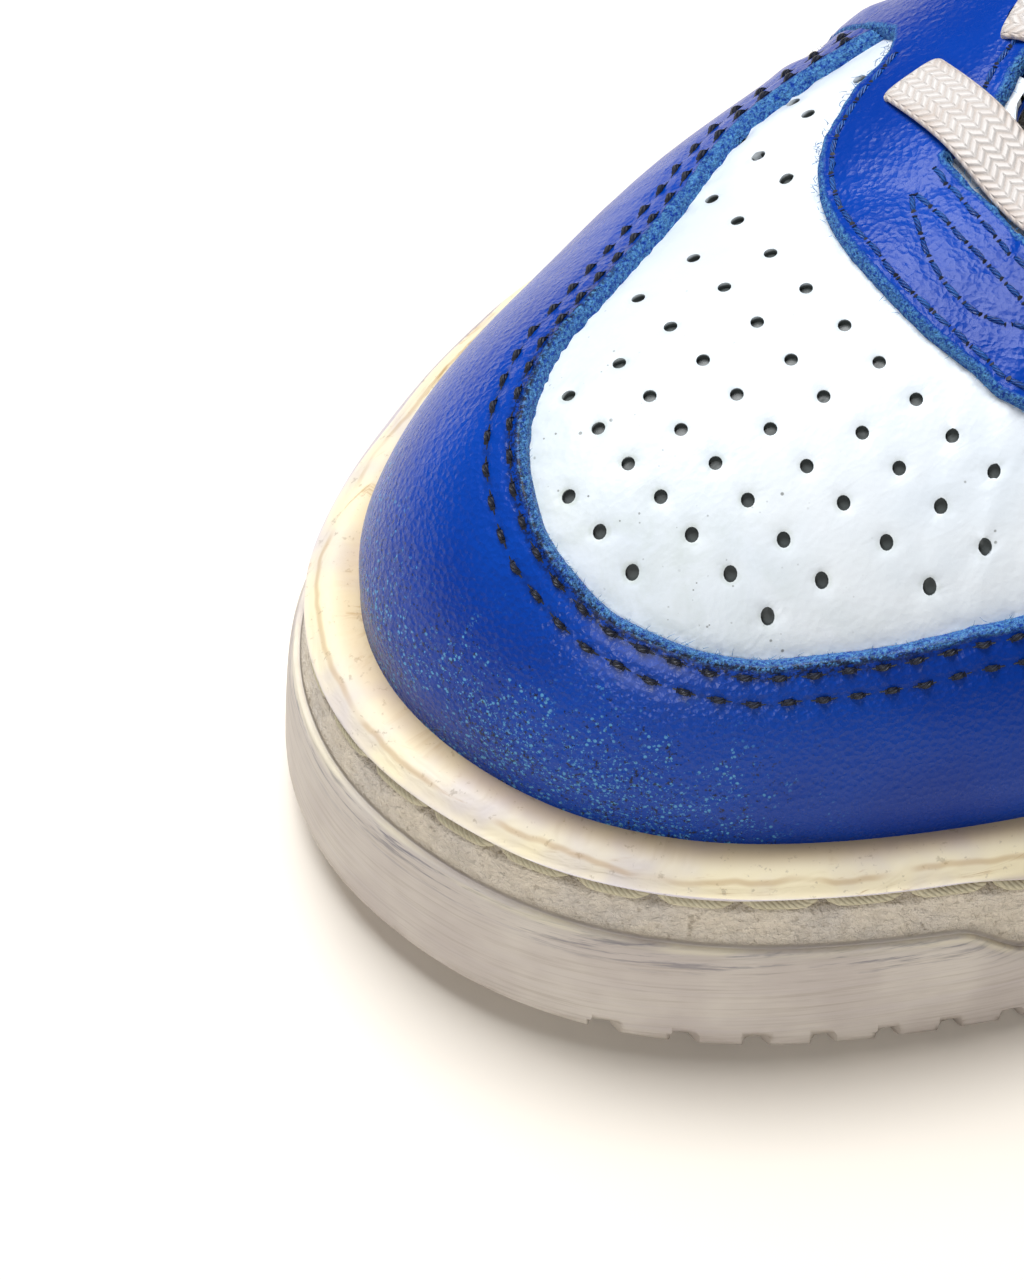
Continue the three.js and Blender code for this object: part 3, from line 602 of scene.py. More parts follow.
    def nearest(self, points: Array) -> Array:
        """Pattern points of the places on the last that are nearest to points in space."""
        hits = [self.solid_tree.find_nearest(Vector(p)) for p in points]
        return self.pattern(self._spots(hits, self.solid))

    def lifted(self, line: Array) -> Array:
        """A pattern line's own line on the last."""
        return self.surface(*self.lift(line).T)

    def pattern(self, spots: Array) -> Array:
        """Plane pattern points of places on the last."""
        return self.flat(*spots.T)

    def lip_z(self, side: Array, share: Array) -> Array:
        """The height of the sole's lip at a share of the way round."""
        point, _ = self.outline(side, share)
        return self.tread_height(point[..., 0]) + self.wall_heights(share)[2]

    def wall_heights(self, share: Array) -> list[Array]:
        """The sole's side: how high over the tread its lower wall, its stitch channel and its lip reach."""
        return [self.cup_height * RowCurve(WALL_ROWS, column)(share) for column in (1, 2, 3)]


@dataclass
class Creases:
    """Soft troughs, pressed by the foot's bend, that run across every layer of the upper.

    Each row: side, then x and z at the trough's ends and middle, its depth and its half width.
    """

    last: Last
    rows: tuple[tuple[float, ...], ...] = (
        (1, 49, 62, 46, 50, 38, 39, 0.9, 2.6), (1, 38, 68, 34, 54, 24, 41, 0.75, 2.8),
        (1, 60, 57, 58, 48, 53, 38, 0.55, 2.2), (1, 22, 76, 16, 60, 8, 45, 0.45, 3),
        (1, 30, 58, 26, 50, 16, 42, 0.35, 1.8),
        (-1, 50, 62, 46, 50, 38, 39, 0.85, 2.6), (-1, 38, 69, 33, 54, 22, 41, 0.7, 2.8),
        (-1, 61, 57, 58, 48, 52, 38, 0.5, 2.2), (-1, 20, 77, 14, 60, 6, 45, 0.45, 3),
        (1, -118, 74, -112, 64, -104, 56, 0.7, 3.4), (-1, -118, 74, -111, 64, -102, 56, 0.7, 3.4),
        (1, -128, 60, -120, 56, -110, 53, 0.5, 3), (-1, -128, 60, -119, 56, -109, 53, 0.5, 3),
        (1, -70, 62, -76, 54, -86, 47, 0.45, 3.2), (-1, -68, 62, -74, 54, -84, 47, 0.45, 3.2),
    )
    lines: list[tuple[Array, float, float]] = field(default_factory=list)

    def __post_init__(self) -> None:
        """Lays each trough on the last."""
        for side, x0, z0, x1, z1, x2, z2, depth, width in self.rows:
            spots = self.last.beside(int(side), spline(((x0, z0), (x1, z1), (x2, z2)), 10))
            self.lines.append((self.last.surface(*spots.T), depth, width))

    def depth(self, points: Array) -> Array:
        """How far the creases move points on the last, outwards where positive."""
        shape = points.shape[:-1]
        flat = points.reshape(-1, 3)
        moved = np.zeros(len(flat))
        for line, depth, width in self.lines:
            low, high = line.min(axis=0) - 4 * width, line.max(axis=0) + 4 * width
            near = np.all((flat > low) & (flat < high), axis=1)
            if not near.any():
                continue
            gap = np.linalg.norm(flat[near][:, None] - line[None], axis=2)
            nearest = gap.argmin(axis=1)
            far = gap.min(axis=1) / width
            fade = smooth(np.minimum(nearest, len(line) - 1 - nearest) / (0.3 * len(line)) + 0.15)
            moved[near] += depth * fade * (0.45 * np.exp(-((far - 1.9) ** 2) / 0.6) - np.exp(-(far**2)))
        return moved.reshape(shape)


def maths(operation: str, swapped: bool = False) -> Callable[..., "Wire"]:
    """A Wire's method that adds one maths node, with the wire as its first input or, swapped, its second."""

    def method(wire: "Wire", other: Any = 0) -> "Wire":
        """Adds the node of the kind that the wire's socket needs."""
        inputs = (other, wire) if swapped else (wire, other)
        if wire.socket.type == "VALUE":
            return wire.board.node("ShaderNodeMath", {"operation": operation}, dict(enumerate(inputs)))
        inputs = ((v, v, v) if isinstance(v, (int, float)) else v for v in inputs)
        return wire.board.node("ShaderNodeVectorMath", {"operation": operation}, dict(enumerate(inputs)))

    return method


class Wire:
    """A node's output, on which plain maths adds nodes."""

    __add__ = __radd__ = maths("ADD")
    __mul__ = __rmul__ = maths("MULTIPLY")
    __sub__, __rsub__ = maths("SUBTRACT"), maths("SUBTRACT", swapped=True)
    least, most, zigzag = maths("MINIMUM"), maths("MAXIMUM"), maths("PINGPONG")
    size, sine = maths("ABSOLUTE"), maths("SINE")

    def __init__(self, board: "Board", socket: bpy.types.NodeSocket) -> None:
        """Wraps one output of one of the board's nodes."""
        self.board, self.socket = board, socket

    def between(self, low: float, high: float) -> "Wire":
        """A soft step from 0 at low to 1 at high, either way round."""
        return self.board.node(
            "ShaderNodeMapRange", {"interpolation_type": "SMOOTHSTEP", "clamp": True},
            {"Value": self, "From Min": low, "From Max": high},
        )


class Board:
    """A material's nodes, added one by one."""

    def __init__(self, name: str) -> None:
        """Starts an empty material with its shader and output."""
        self.material = bpy.data.materials.new(name)
        self.material.use_nodes = True
        self.tree = self.material.node_tree
        self.tree.nodes.clear()
        self.shader = self.tree.nodes.new("ShaderNodeBsdfPrincipled")
        output = self.tree.nodes.new("ShaderNodeOutputMaterial")
        self.tree.links.new(self.shader.outputs[0], output.inputs[0])

    def node(self, kind: str, settings: dict[str, Any], inputs: dict[Any, Any], output: Any = 0) -> Wire:
        """Adds a node.

        Args:
            kind: its type.
            settings: its properties, set first.
            inputs: values or wires of its sockets, by name or number.
            output: which of its outputs is returned.

        Returns:
            The chosen output.
        """
        made = self.tree.nodes.new(kind)
        for key, value in settings.items():
            setattr(made, key, value)
        for key, value in inputs.items():
            self.plug(made.inputs[key], value)
        return Wire(self, made.outputs[output])

    def plug(self, socket: bpy.types.NodeSocket, value: Any) -> None:
        """Links a wire to a socket, or sets the socket's own value."""
        if isinstance(value, Wire):
            self.tree.links.new(value.socket, socket)
        elif socket.type == "RGBA" and len(value) == 3:
            socket.default_value = (*value, 1)
        else:
            socket.default_value = value

    def place(self) -> Wire:
        """Where a point is on the object, in millimetres."""
        return self.node("ShaderNodeTexCoord", {}, {}, "Object") * (1 / MM)

    def run(self) -> Wire:
        """The piece's own run: along and across it, in millimetres."""
        return self.node("ShaderNodeUVMap", {"uv_map": "run"}, {})

    def carried(self, name: str) -> Wire:
        """A value that the mesh carries at its points."""
        return self.node("ShaderNodeAttribute", {"attribute_name": name}, {}, "Fac")

    def axis(self, vector: Wire, name: str) -> Wire:
        """One of a vector's three numbers."""
        return self.node("ShaderNodeSeparateXYZ", {}, {0: vector}, name)

    def noise(self, where: Wire, size: float, detail: float = 3, rough: float = 0.55, warp: float = 0) -> Wire:
        """Soft noise from 0 to 1 whose spots are about size millimetres."""
        return self.node(
            "ShaderNodeTexNoise", {},
            {"Vector": where, "Scale": 1 / size, "Detail": detail, "Roughness": rough, "Distortion": warp},
        )

    def cells(self, where: Wire, size: float) -> Wire:
        """Cells about size millimetres wide: the distance from their middles."""
        return self.node("ShaderNodeTexVoronoi", {"feature": "F1"}, {"Vector": where, "Scale": 1 / size})

    def tint(self, share: Any, first: Any, second: Any) -> Wire:
        """A colour between two, from the first at 0 to the second at 1."""
        return self.node("ShaderNodeMix", {"data_type": "RGBA"}, {0: share, 6: first, 7: second}, 2)

    def bump(self, height: Wire, depth: float, strength: float = 1, under: Wire | None = None) -> Wire:
        """Relief of a height from 0 to 1, depth millimetres deep."""
        inputs: dict[Any, Any] = {"Height": height, "Strength": strength, "Distance": depth * MM}
        if under is not None:
            inputs["Normal"] = under
        return self.node("ShaderNodeBump", {}, inputs)

    def finish(self, **sockets: Any) -> Material:
        """Sets the shader's sockets, named with _ for a space, and gives the material."""
        for key, value in sockets.items():
            self.plug(self.shader.inputs[key.replace("_", " ")], value)
        return self.material


def srgb(red: float, green: float, blue: float) -> Colour:
    """A colour given as a screen shows it, from 0 to 255, in the shader's own linear light."""
    return tuple(
        c / 12.92 if c <= 0.04045 else ((c + 0.055) / 1.055) ** 2.4 for c in (v / 255 for v in (red, green, blue))
    )


@dataclass(frozen=True)
class BlueLeather:
    """Coated cobalt leather with a fine pebble, worn to light and dark flecks at the toe."""

    name: str = "blue_leather"
    deep: Colour = srgb(0, 52, 150)
    bright: Colour = srgb(0, 66, 172)
    fleck: Colour = srgb(96, 168, 214)
    raw: Colour = srgb(92, 154, 202)
    soot: Colour = srgb(16, 22, 34)

    def make(self) -> Material:
        """Builds the material."""
        b = Board(self.name)
        place = b.place()
        edge, seam, low = b.carried("edge"), b.carried("seam"), b.carried("low")
        toe = b.axis(place, "X").between(70, 118)
        broad = b.noise(place, 26, 2)
        colour = b.tint(broad.between(0.3, 0.7), self.deep, self.bright)
        worn = (low.between(26, 3) * b.noise(place, 9, 4, 0.6).between(0.1, 0.62) * toe.most(0.1)
                * b.axis(place, "Y").between(42, 14).most(0.12))
        shaken = place + b.noise(place, 0.9, 1) * 0.7
        keep = b.noise(place, 2.6, 2, 0.7)
        big = b.cells(shaken, 0.8).between(0.3, 0.18) * (keep + worn * 0.3).between(0.6, 0.7)
        small = (b.noise(place + 2.0, 0.42, 3, 0.8) + worn * 0.08).between(0.63, 0.7)
        light = (small * (keep + worn * 0.6).between(0.55, 0.95)).most(big * worn.between(0.1, 0.5))
        light = light * worn.between(0.0, 0.35)
        dark = (b.noise(place + 31.7, 0.6, 3, 0.8) + worn * 0.1).between(0.63, 0.7) * worn.between(0.05, 0.4)
        colour = b.tint(light * 0.85, colour, self.fleck)
        colour = b.tint(dark * 0.9, colour, self.soot)
        front = b.axis(place, "X").between(84, 110)
        grime = seam.between(0.8, 0.1) * (front * 0.35 + 0.1) * b.noise(place, 1.2, 3).between(0.35, 0.65)
        burnt = b.noise(place + 9.0, 0.6, 3, 0.8).between(0.46, 0.56) * edge.between(2.6, 1.3) * front
        colour = b.tint(grime.most(burnt * 0.85), colour, self.soot)
        fray = b.noise(place, 0.7, 3, 0.7)
        lip = (edge + fray * 0.7 - 0.35).between(1.05, 0.55)
        nap = b.tint(b.noise(place, 0.45, 2, 0.8).between(0.3, 0.75), self.deep, self.raw)
        speck = b.noise(place + 5.0, 0.5, 3, 0.75).between(0.42, 0.56) * (front * 0.9 + 0.15) * edge.between(0.1, 0.5)
        nap = b.tint(speck * 0.9, nap, self.soot)
        colour = b.tint(lip, colour, nap)
        pebble = b.cells(shaken, 0.75)
        wrinkle = b.noise(place * (1.4, 0.9, 1), 0.65, 2, 0.6, 0.4)
        height = (pebble * 0.55 + wrinkle * 0.2) * (front * 0.35 + 0.65) + b.noise(place, 0.3, 1) * lip * 2
        normal = b.bump(height, 0.28, 0.8)
        coat = low.between(3, 14) * front * b.axis(place, "Y").between(-26, -2) * 0.32
        rough = keep * 0.14 + 0.21 + light * 0.2 + lip * 0.5
        return b.finish(Base_Color=colour, Roughness=rough, Normal=normal, Specular_IOR_Level=0.2,
                        Coat_Weight=coat, Coat_Roughness=0.32)


@dataclass(frozen=True)
class WhiteLeather:
    """Coated white leather, grey at the toe, with specks, dirty rims round the punched holes and painted shade inside
    them.
    """

    name: str = "white_leather"
    clean: Colour = srgb(236, 242, 248)
    cool: Colour = srgb(222, 231, 240)
    grime: Colour = srgb(184, 194, 184)
    speck: Colour = srgb(96, 98, 92)
    # The dark of the painted shade inside the punched holes.
    rim: Colour = srgb(80, 86, 86)

    def make(self) -> Material:
        """Builds the material."""
        b = Board(self.name)
        place = b.place()
        hole, edge = b.carried("hole"), b.carried("edge")
        x = b.axis(place, "X")
        colour = b.tint(b.noise(place, 18, 3).between(0.3, 0.7), self.clean, self.cool)
        front = (x + b.noise(place, 14, 4) * 26).between(104, 136)
        smear = front * b.noise(place, 6, 5, 0.65, 0.6).between(0.3, 0.75)
        colour = b.tint(smear * 0.45, colour, self.grime)
        dots = b.cells(place + 3.0, 2.6).between(0.1, 0.055) * b.noise(place, 5, 2).between(0.5, 0.6)
        fine = b.cells(place + 12.0, 1.1).between(0.14, 0.09) * b.noise(place, 3, 2).between(0.52, 0.6)
        dots = dots.most(fine * front)
        colour = b.tint(dots * 0.75, colour, self.speck)
        ring = hole.between(0.75, 0.1) * b.noise(place, 1.2, 2).between(0.3, 0.7)
        colour = b.tint(ring * (front * 0.35 + 0.25), colour, self.grime)
        # Painted shade: hole walls and hole floors, where the hole value falls below zero, are painted dark.
        colour = b.tint(hole.between(0.02, -0.15), colour, self.rim)
        line = (edge + b.noise(place, 2.5, 3) * 1.4).between(1.6, 0.5)
        colour = b.tint(line * 0.35, colour, self.grime)
        grain = b.cells(place, 0.8) * 0.3
        crease = b.noise(place * (0.6, 1.4, 1), 2.2, 2, 0.6, 0.8)
        normal = b.bump(grain + crease * 0.5, 0.14, 0.6)
        rough = crease * 0.1 + 0.3 + smear * 0.18
        return b.finish(Base_Color=colour, Roughness=rough, Normal=normal, Specular_IOR_Level=0.5)


@dataclass(frozen=True)
class CupRubber:
    """Aged rubber: yellowed lip, pebbled greyish band, and a brushed lower wall with scuffs."""

    name: str = "sole_rubber"
    cream: Colour = srgb(246, 234, 200)
    pale: Colour = srgb(220, 213, 205)
    band: Colour = srgb(236, 226, 210)
    wall: Colour = srgb(202, 193, 188)
    bead: Colour = srgb(238, 230, 206)
    age: Colour = srgb(172, 128, 62)
    # The dirt colour also serves as painted shade in the band's pebbles and recesses.
    dirt: Colour = srgb(128, 112, 88)
    scuff: Colour = srgb(104, 104, 122)
    lilac: Colour = srgb(208, 200, 204)

    def make(self) -> Material:
        """Builds the material."""
        b = Board(self.name)
        place, run, zone = b.place(), b.run(), b.carried("zone")
        wall, band, lip = zone.between(1.02, 0.98), zone.between(1.1, 1.2), zone.between(2.9, 3.02)
        streak = b.noise(run * (0.035, 1, 1), 0.55, 3, 0.7)
        long_streak = b.noise(run * (0.02, 1, 1), 1.7, 3, 0.65)
        cloud = b.noise(place, 14, 3)
        colour = b.tint(cloud.between(0.3, 0.7), self.wall, self.pale)
        colour = b.tint(streak.between(0.45, 0.75) * 0.26, colour, self.dirt)
        colour = b.tint(long_streak.between(0.5, 0.75) * 0.3, colour, self.lilac)
        foot = zone.between(0.22, 0.0) * b.noise(run * (0.2, 1, 1), 1.5, 4, 0.7).between(0.3, 0.7)
        colour = b.tint(foot * 0.55, colour, self.dirt)
        mark = zone.between(0.72, 0.93) * zone.between(1.06, 0.98)
        mark = mark * b.noise(run * (0.12, 1.6, 1), 1.5, 4, 0.75).between(0.5, 0.66)
        colour = b.tint(mark * 0.75, colour, self.scuff)
        bead = zone.between(0.9, 1.0) * zone.between(1.12, 1.04)
        colour = b.tint(bead * b.noise(run * (0.08, 1, 1), 1.4, 3).between(0.35, 0.6) * 0.7, colour, self.bead)
        pebbled = b.tint(b.noise(place, 7, 4).between(0.3, 0.75), self.band, self.pale)
        pebbled = b.tint(b.noise(place, 1.3, 3, 0.7).between(0.56, 0.72) * 0.5, pebbled, self.dirt)
        # Painted shade: darker where the band's pebble relief, the same noise as its bump, is low.
        pebbled = b.tint(b.noise(place, 1.4, 3, 0.7).between(0.6, 0.4) * 0.15, pebbled, self.dirt)
        # Painted shade in the dirt colour, on the ledge above the bead and from the band's top down into the stitch
        # channel.
        recess_shade = (zone.between(1.0, 1.12) * zone.between(1.35, 1.15)) + zone.between(1.85, 2.0)
        pebbled = b.tint(recess_shade * 0.25, pebbled, self.dirt)
        colour = b.tint(band, colour, pebbled)
        cap = b.tint(zone.between(3.1, 3.5) * cloud.between(0.2, 0.6), self.lilac, self.cream)
        age = b.noise(run * (0.07, 1, 1), 0.9, 5, 0.75, 0.5).between(0.55, 0.68)
        age = age * b.noise(place, 10, 3).between(0.42, 0.62) * zone.between(3.0, 3.4)
        cap = b.tint(age * 0.75, cap, self.age)
        cap = b.tint(b.noise(place, 1.3, 3, 0.75).between(0.6, 0.7) * 0.35, cap, self.dirt)
        cap = b.tint(zone.between(3.85, 4.1) * 0.45, cap, self.age)
        wander = zone + (b.noise(run * (0.06, 0, 0), 1, 3, 0.6) - 0.5) * 0.5
        split = (wander - 3.74).size().between(0.07, 0.01) * b.noise(run * (0.05, 0, 0), 1, 2).between(0.4, 0.5)
        cap = b.tint(split * 0.4, cap, self.age)
        colour = b.tint(lip, colour, cap)
        rough_band = b.noise(place, 1.4, 3, 0.7) * 2.4
        fine = b.noise(run * (0.05, 1, 1), 0.5, 2) * 0.18
        crack = b.noise(run * (0.25, 1, 1), 2, 3, 0.7, 0.6)
        height = fine * wall + rough_band * band * (1 - lip) + crack * 0.5 * lip
        normal = b.bump(height, 0.65, 0.85)
        rough = cloud * 0.2 + 0.5 - lip * 0.12
        return b.finish(Base_Color=colour, Roughness=rough, Normal=normal, Specular_IOR_Level=0.35)


@dataclass(frozen=True)
class FlatWeave:
    """A woven cotton, for laces, tongue and lining: its yarns cross at a slant."""

    name: str
    yarn: Colour
    shade: Colour
    stain: Colour
    pitch: float
    soil: float
    depth: float

    def make(self) -> Material:
        """Builds the material."""
        b = Board(self.name)
        place, run = b.place(), b.run()
        along, across = b.axis(run, "X"), b.axis(run, "Y")
        turn = 2 * math.pi / self.pitch
        zigzag = across.zigzag(self.pitch)
        braid = ((along + zigzag * 0.85) * turn + b.noise(run, 2.5, 1) * 1.2).sine() * 0.5 + 0.5
        groove = (across * (math.pi / self.pitch)).sine().size().between(-0.25, 0.4)
        weave = braid * groove * 0.8 + b.noise(run * (1, 2, 1), 0.3, 2, 0.7) * 0.3
        # Painted shade and light: the colour follows the weave's relief, darker in its hollows and lighter on its
        # crests.
        colour = b.tint(weave.between(0.0, 0.5), self.shade, self.yarn)
        dirt = b.noise(place, 5, 4, 0.65).between(0.42, 0.72)
        edge = b.carried("hem").between(1.4, 0.1)
        colour = b.tint((dirt * self.soil + edge * 0.35).least(0.9), colour, self.stain)
        normal = b.bump(weave, self.depth, 0.9)
        rough = dirt * 0.1 + 0.78
        return b.finish(Base_Color=colour, Roughness=rough, Normal=normal, Sheen_Weight=0.2)


@dataclass(frozen=True)
class Thread:
    """Twisted sewing thread, with a twist along its run."""

    name: str
    light: Colour
    dark: Colour
    rough: float

    def make(self) -> Material:
        """Builds the material."""
        b = Board(self.name)
        place, run = b.place(), b.run()
        twist = (b.axis(run, "X") * 9.0 + b.axis(run, "Y") * 6.0).sine() * 0.5 + 0.5
        worn = b.noise(place, 6, 3).between(0.35, 0.65)
        # Partly painted shade and light: the colour follows the twist's relief, darker in its grooves, and partly
        # wear from the noise.
        colour = b.tint(twist * 0.6 + worn * 0.4, self.dark, self.light)
        normal = b.bump(twist, 0.15, 0.8)
        return b.finish(Base_Color=colour, Roughness=worn * 0.2 + self.rough, Normal=normal)


class Finishes:
    """Every finish of the shoe, built once."""

    def __init__(self) -> None:
        """Builds them: leathers and rubber, then fabrics, then threads."""
        self.blue, self.white, self.rubber = (kind().make() for kind in (BlueLeather, WhiteLeather, CupRubber))
        self.cotton, self.tongue, self.lining, self.insole = (
            FlatWeave(name, srgb(*yarn), srgb(*shade), srgb(*stain), pitch, soil, depth).make()
            for name, yarn, shade, stain, pitch, soil, depth in (
                ("lace_cotton", (230, 225, 222), (192, 182, 175), (198, 178, 164), 1.2, 0.35, 0.34),
                ("tongue_fabric", (226, 226, 222), (168, 168, 164), (176, 166, 150), 1.6, 0.4, 0.5),
                ("lining_fabric", (214, 216, 216), (160, 164, 166), (170, 160, 146), 1.1, 0.45, 0.3),
                ("insole_fabric", (216, 212, 204), (170, 166, 158), (150, 138, 120), 1.8, 0.6, 0.3),
            ))
        self.navy, self.azure, self.fibre, self.cream = (
            Thread(name, srgb(*light), srgb(*dark), rough).make() for name, light, dark, rough in (
                ("navy_thread", (26, 34, 56), (8, 10, 18), 0.45),
                ("blue_thread", (36, 104, 188), (10, 34, 110), 0.35),
                ("leather_fibre", (96, 160, 208), (24, 66, 130), 0.7),
                ("cream_thread", (222, 215, 188), (200, 192, 162), 0.6),
            ))


class Thickness(Enum):
    """How far the faces of the two leather layers stand off the last, in millimetres."""

    BASE_BACK = -0.5
    BASE = 0.0
    OVERLAY_BACK = 0.15
    OVERLAY = 1.7


@dataclass
class Cutter:
    """Cuts a leather piece on the plane pattern and lays it on the last, with a raw edge and holes."""

    last: Last
    creases: Creases
    under: float
    outer: float
    spacing: float = 1.15
    edge_width: float = 0.8
    edge_share: float = 0.12
    seam_width: float = 0.75
    dimple: float = 0.16
    dimple_width: float = 0.35
    tuck_height: float = 8
    skirt: float = 0.45
    hole_wall: float = 0.7
    rings: tuple[float, ...] = (0.27, 0.54, 0.85, 1.4)

    def cut(
        self, mesher: Mesher, outline: Array, raw: Sequence[Array], holes: Sequence[Array] = (),
        seams: Sequence[Array] = (), dip: float = 0.22,
    ) -> None:
        """Cuts one piece.

        Args:
            mesher: where its mesh goes.
            outline: its closed outline on the pattern.
            raw: the lines of the outline, on the pattern, that are raw edges.
            holes: closed loops of punched holes, on the pattern.
            seams: sewn lines on the pattern, which pull the leather in.
            dip: how deep a sewn line pulls the leather in.
        """
        loop = resample(outline, 0.75, closed=True)
        flat, faces = self._mesh(loop, holes)
        spots = self.last.lift(flat)
        ground = self.last.surface(*spots.T)
        edge, seam = (
            gaps_from(np.vstack([resample(self.last.lifted(line), 0.15) for line in lines]))(ground) if lines
            else np.full(len(flat), FAR) for lines in (raw, seams)
        )
        hole_gap = np.full(len(flat), FAR)
        for hole in holes:
            centre = hole.mean(axis=0)
            radius = np.linalg.norm(hole - centre, axis=1).mean()
            hole_gap = np.minimum(hole_gap, np.maximum(np.linalg.norm(flat - centre, axis=1) - radius, 0))
        rounded = np.sqrt(np.clip(1 - (1 - np.minimum(edge / self.edge_width, 1)) ** 2, 0, 1))
        wavy = 0.1 * np.sin(ground[:, 0] * 2.1 + ground[:, 1] * 1.3) * np.exp(-edge)
        lip = self.last.lip_z(spots[:, 0], spots[:, 1])
        tuck = mix(0.2, 1, smooth((ground[:, 2] - lip + 1) / self.tuck_height))
        offset = self.under + (self.outer - self.under) * mix(self.edge_share, 1, rounded) * tuck + wavy
        offset = offset - dip * np.exp(-((seam / self.seam_width) ** 2))
        offset = offset - self.dimple * np.exp(-((hole_gap / self.dimple_width) ** 2))
        top = self.last.place(*spots.T, offset + self.creases.depth(ground))
        values = {"edge": np.minimum(edge, FAR), "seam": np.minimum(seam, FAR), "hole": hole_gap,
                  "low": top[:, 2] - lip}
        normal = np.cross(top[faces[:, 1]] - top[faces[:, 0]], top[faces[:, 2]] - top[faces[:, 0]])
        out = (normal * self.last.normal(*spots[faces[:, 0]].T)).sum(axis=1) < 0
        faces[out] = faces[out][:, ::-1]
        mesher.add(top, faces, **values)
        self._skirt(mesher, spots, faces, top, values)
        # Each hole is closed at its bottom by a disc whose hole value of -0.5 has the white leather paint it dark:
        # painted shade in the hole.
        dark = dict.fromkeys(values, FAR) | {"hole": -0.5}
        for hole in holes:
            rim = self.last.lift(mix(hole.mean(axis=0), hole, 1.2))
            floor = self.last.place(*rim.T, self.under - self.skirt)
            mesher.add(np.vstack([floor, floor.mean(axis=0)]), fan_faces(len(rim)), **dark)

    def _mesh(self, loop: Array, holes: Sequence[Array]) -> tuple[Array, Array]:
        """Fills an outline on the pattern with an even mesh, finer along its edge.

        Args:
            loop: the closed outline.
            holes: the loops that stay open.

        Returns:
            The mesh's points on the pattern and its three-sided faces.
        """
        step = self.spacing
        low, high = loop.min(axis=0), loop.max(axis=0)
        gx, gy = np.meshgrid(np.arange(low[0], high[0], step), np.arange(low[1], high[1], step * 0.866))
        gx[1::2] += step / 2
        grid = np.stack([gx.ravel(), gy.ravel()], axis=1)
        way = unit(np.roll(loop, -1, axis=0) - np.roll(loop, 1, axis=0))
        inward = np.stack([-way[:, 1], way[:, 0]], axis=1)
        if not inside((loop + inward * 0.1)[:1], loop)[0]:
            inward = -inward
        gap_to_loop = gaps_from(loop)
        kept = []
        for depth in self.rings:
            ring = loop + inward * depth
            kept.append(ring[(gap_to_loop(ring) > depth * 0.93) & inside(ring, loop)])
        inner = grid[inside(grid, loop)]
        inner = inner[gap_to_loop(inner) > self.rings[-1] + step * 0.45]
        if len(holes):
            middles = np.array([hole.mean(axis=0) for hole in holes])
            radius = max(np.linalg.norm(hole - hole.mean(axis=0), axis=1).max() for hole in holes)
            gap = np.linalg.norm(inner[:, None] - middles[None], axis=2).min(axis=1)
            inner = inner[gap > radius + step * 0.5]
            kept += [mix(hole.mean(axis=0), hole, 1.35) for hole in holes]
        edges, count = [], 0
        for ring in (loop, *holes):
            n = len(ring)
            edges += [(count + i, count + (i + 1) % n) for i in range(n)]
            count += n
        points = np.vstack([loop, *holes, *kept, inner])
        made = delaunay_2d_cdt([Vector(p) for p in points], edges, [], 0, 1e-6)
        flat = np.array([(v.x, v.y) for v in made[0]])
        faces = np.array([face for face in made[2] if len(face) == 3])
        middle = flat[faces].mean(axis=1)
        good = inside(middle, loop)
        for hole in holes:
            near = np.linalg.norm(middle - hole.mean(axis=0), axis=1) < 3
            good[near] &= ~inside(middle[near], hole)
        used, faces = np.unique(faces[good], return_inverse=True)
        return flat[used], faces.reshape(-1, 3)

    def _skirt(self, mesher: Mesher, spots: Array, faces: Array, top: Array, values: dict[str, Array]) -> None:
        """Turns every free edge down into the layer below, so that edges and holes show a cut wall.

        Args:
            mesher: where the wall goes.
            spots: the piece's places on the last.
            faces: its faces.
            top: its points.
            values: what its points carry.
        """
        sides = np.vstack([faces[:, [0, 1]], faces[:, [1, 2]], faces[:, [2, 0]]])
        keys = {(a, b) for a, b in sides.tolist()}
        free = np.array([(a, b) for a, b in keys if (b, a) not in keys])
        used, local = np.unique(free, return_inverse=True)
        local = local.reshape(-1, 2)
        at_hole = values["hole"][used] < 0.2
        low = self.last.place(*spots[used].T, self.under - np.where(at_hole, self.hole_wall, self.skirt))
        n = len(used)
        quads = np.column_stack([local[:, 1], local[:, 0], local[:, 0] + n, local[:, 1] + n])
        carried = {key: np.concatenate([value[used], value[used]]) for key, value in values.items()}
        # The feet of the hole walls carry -0.4, so that they too are painted dark as shade.
        carried["hole"] = np.concatenate([values["hole"][used], np.where(at_hole, -0.4, FAR)])
        mesher.add(np.vstack([top[used], low]), quads, **carried)


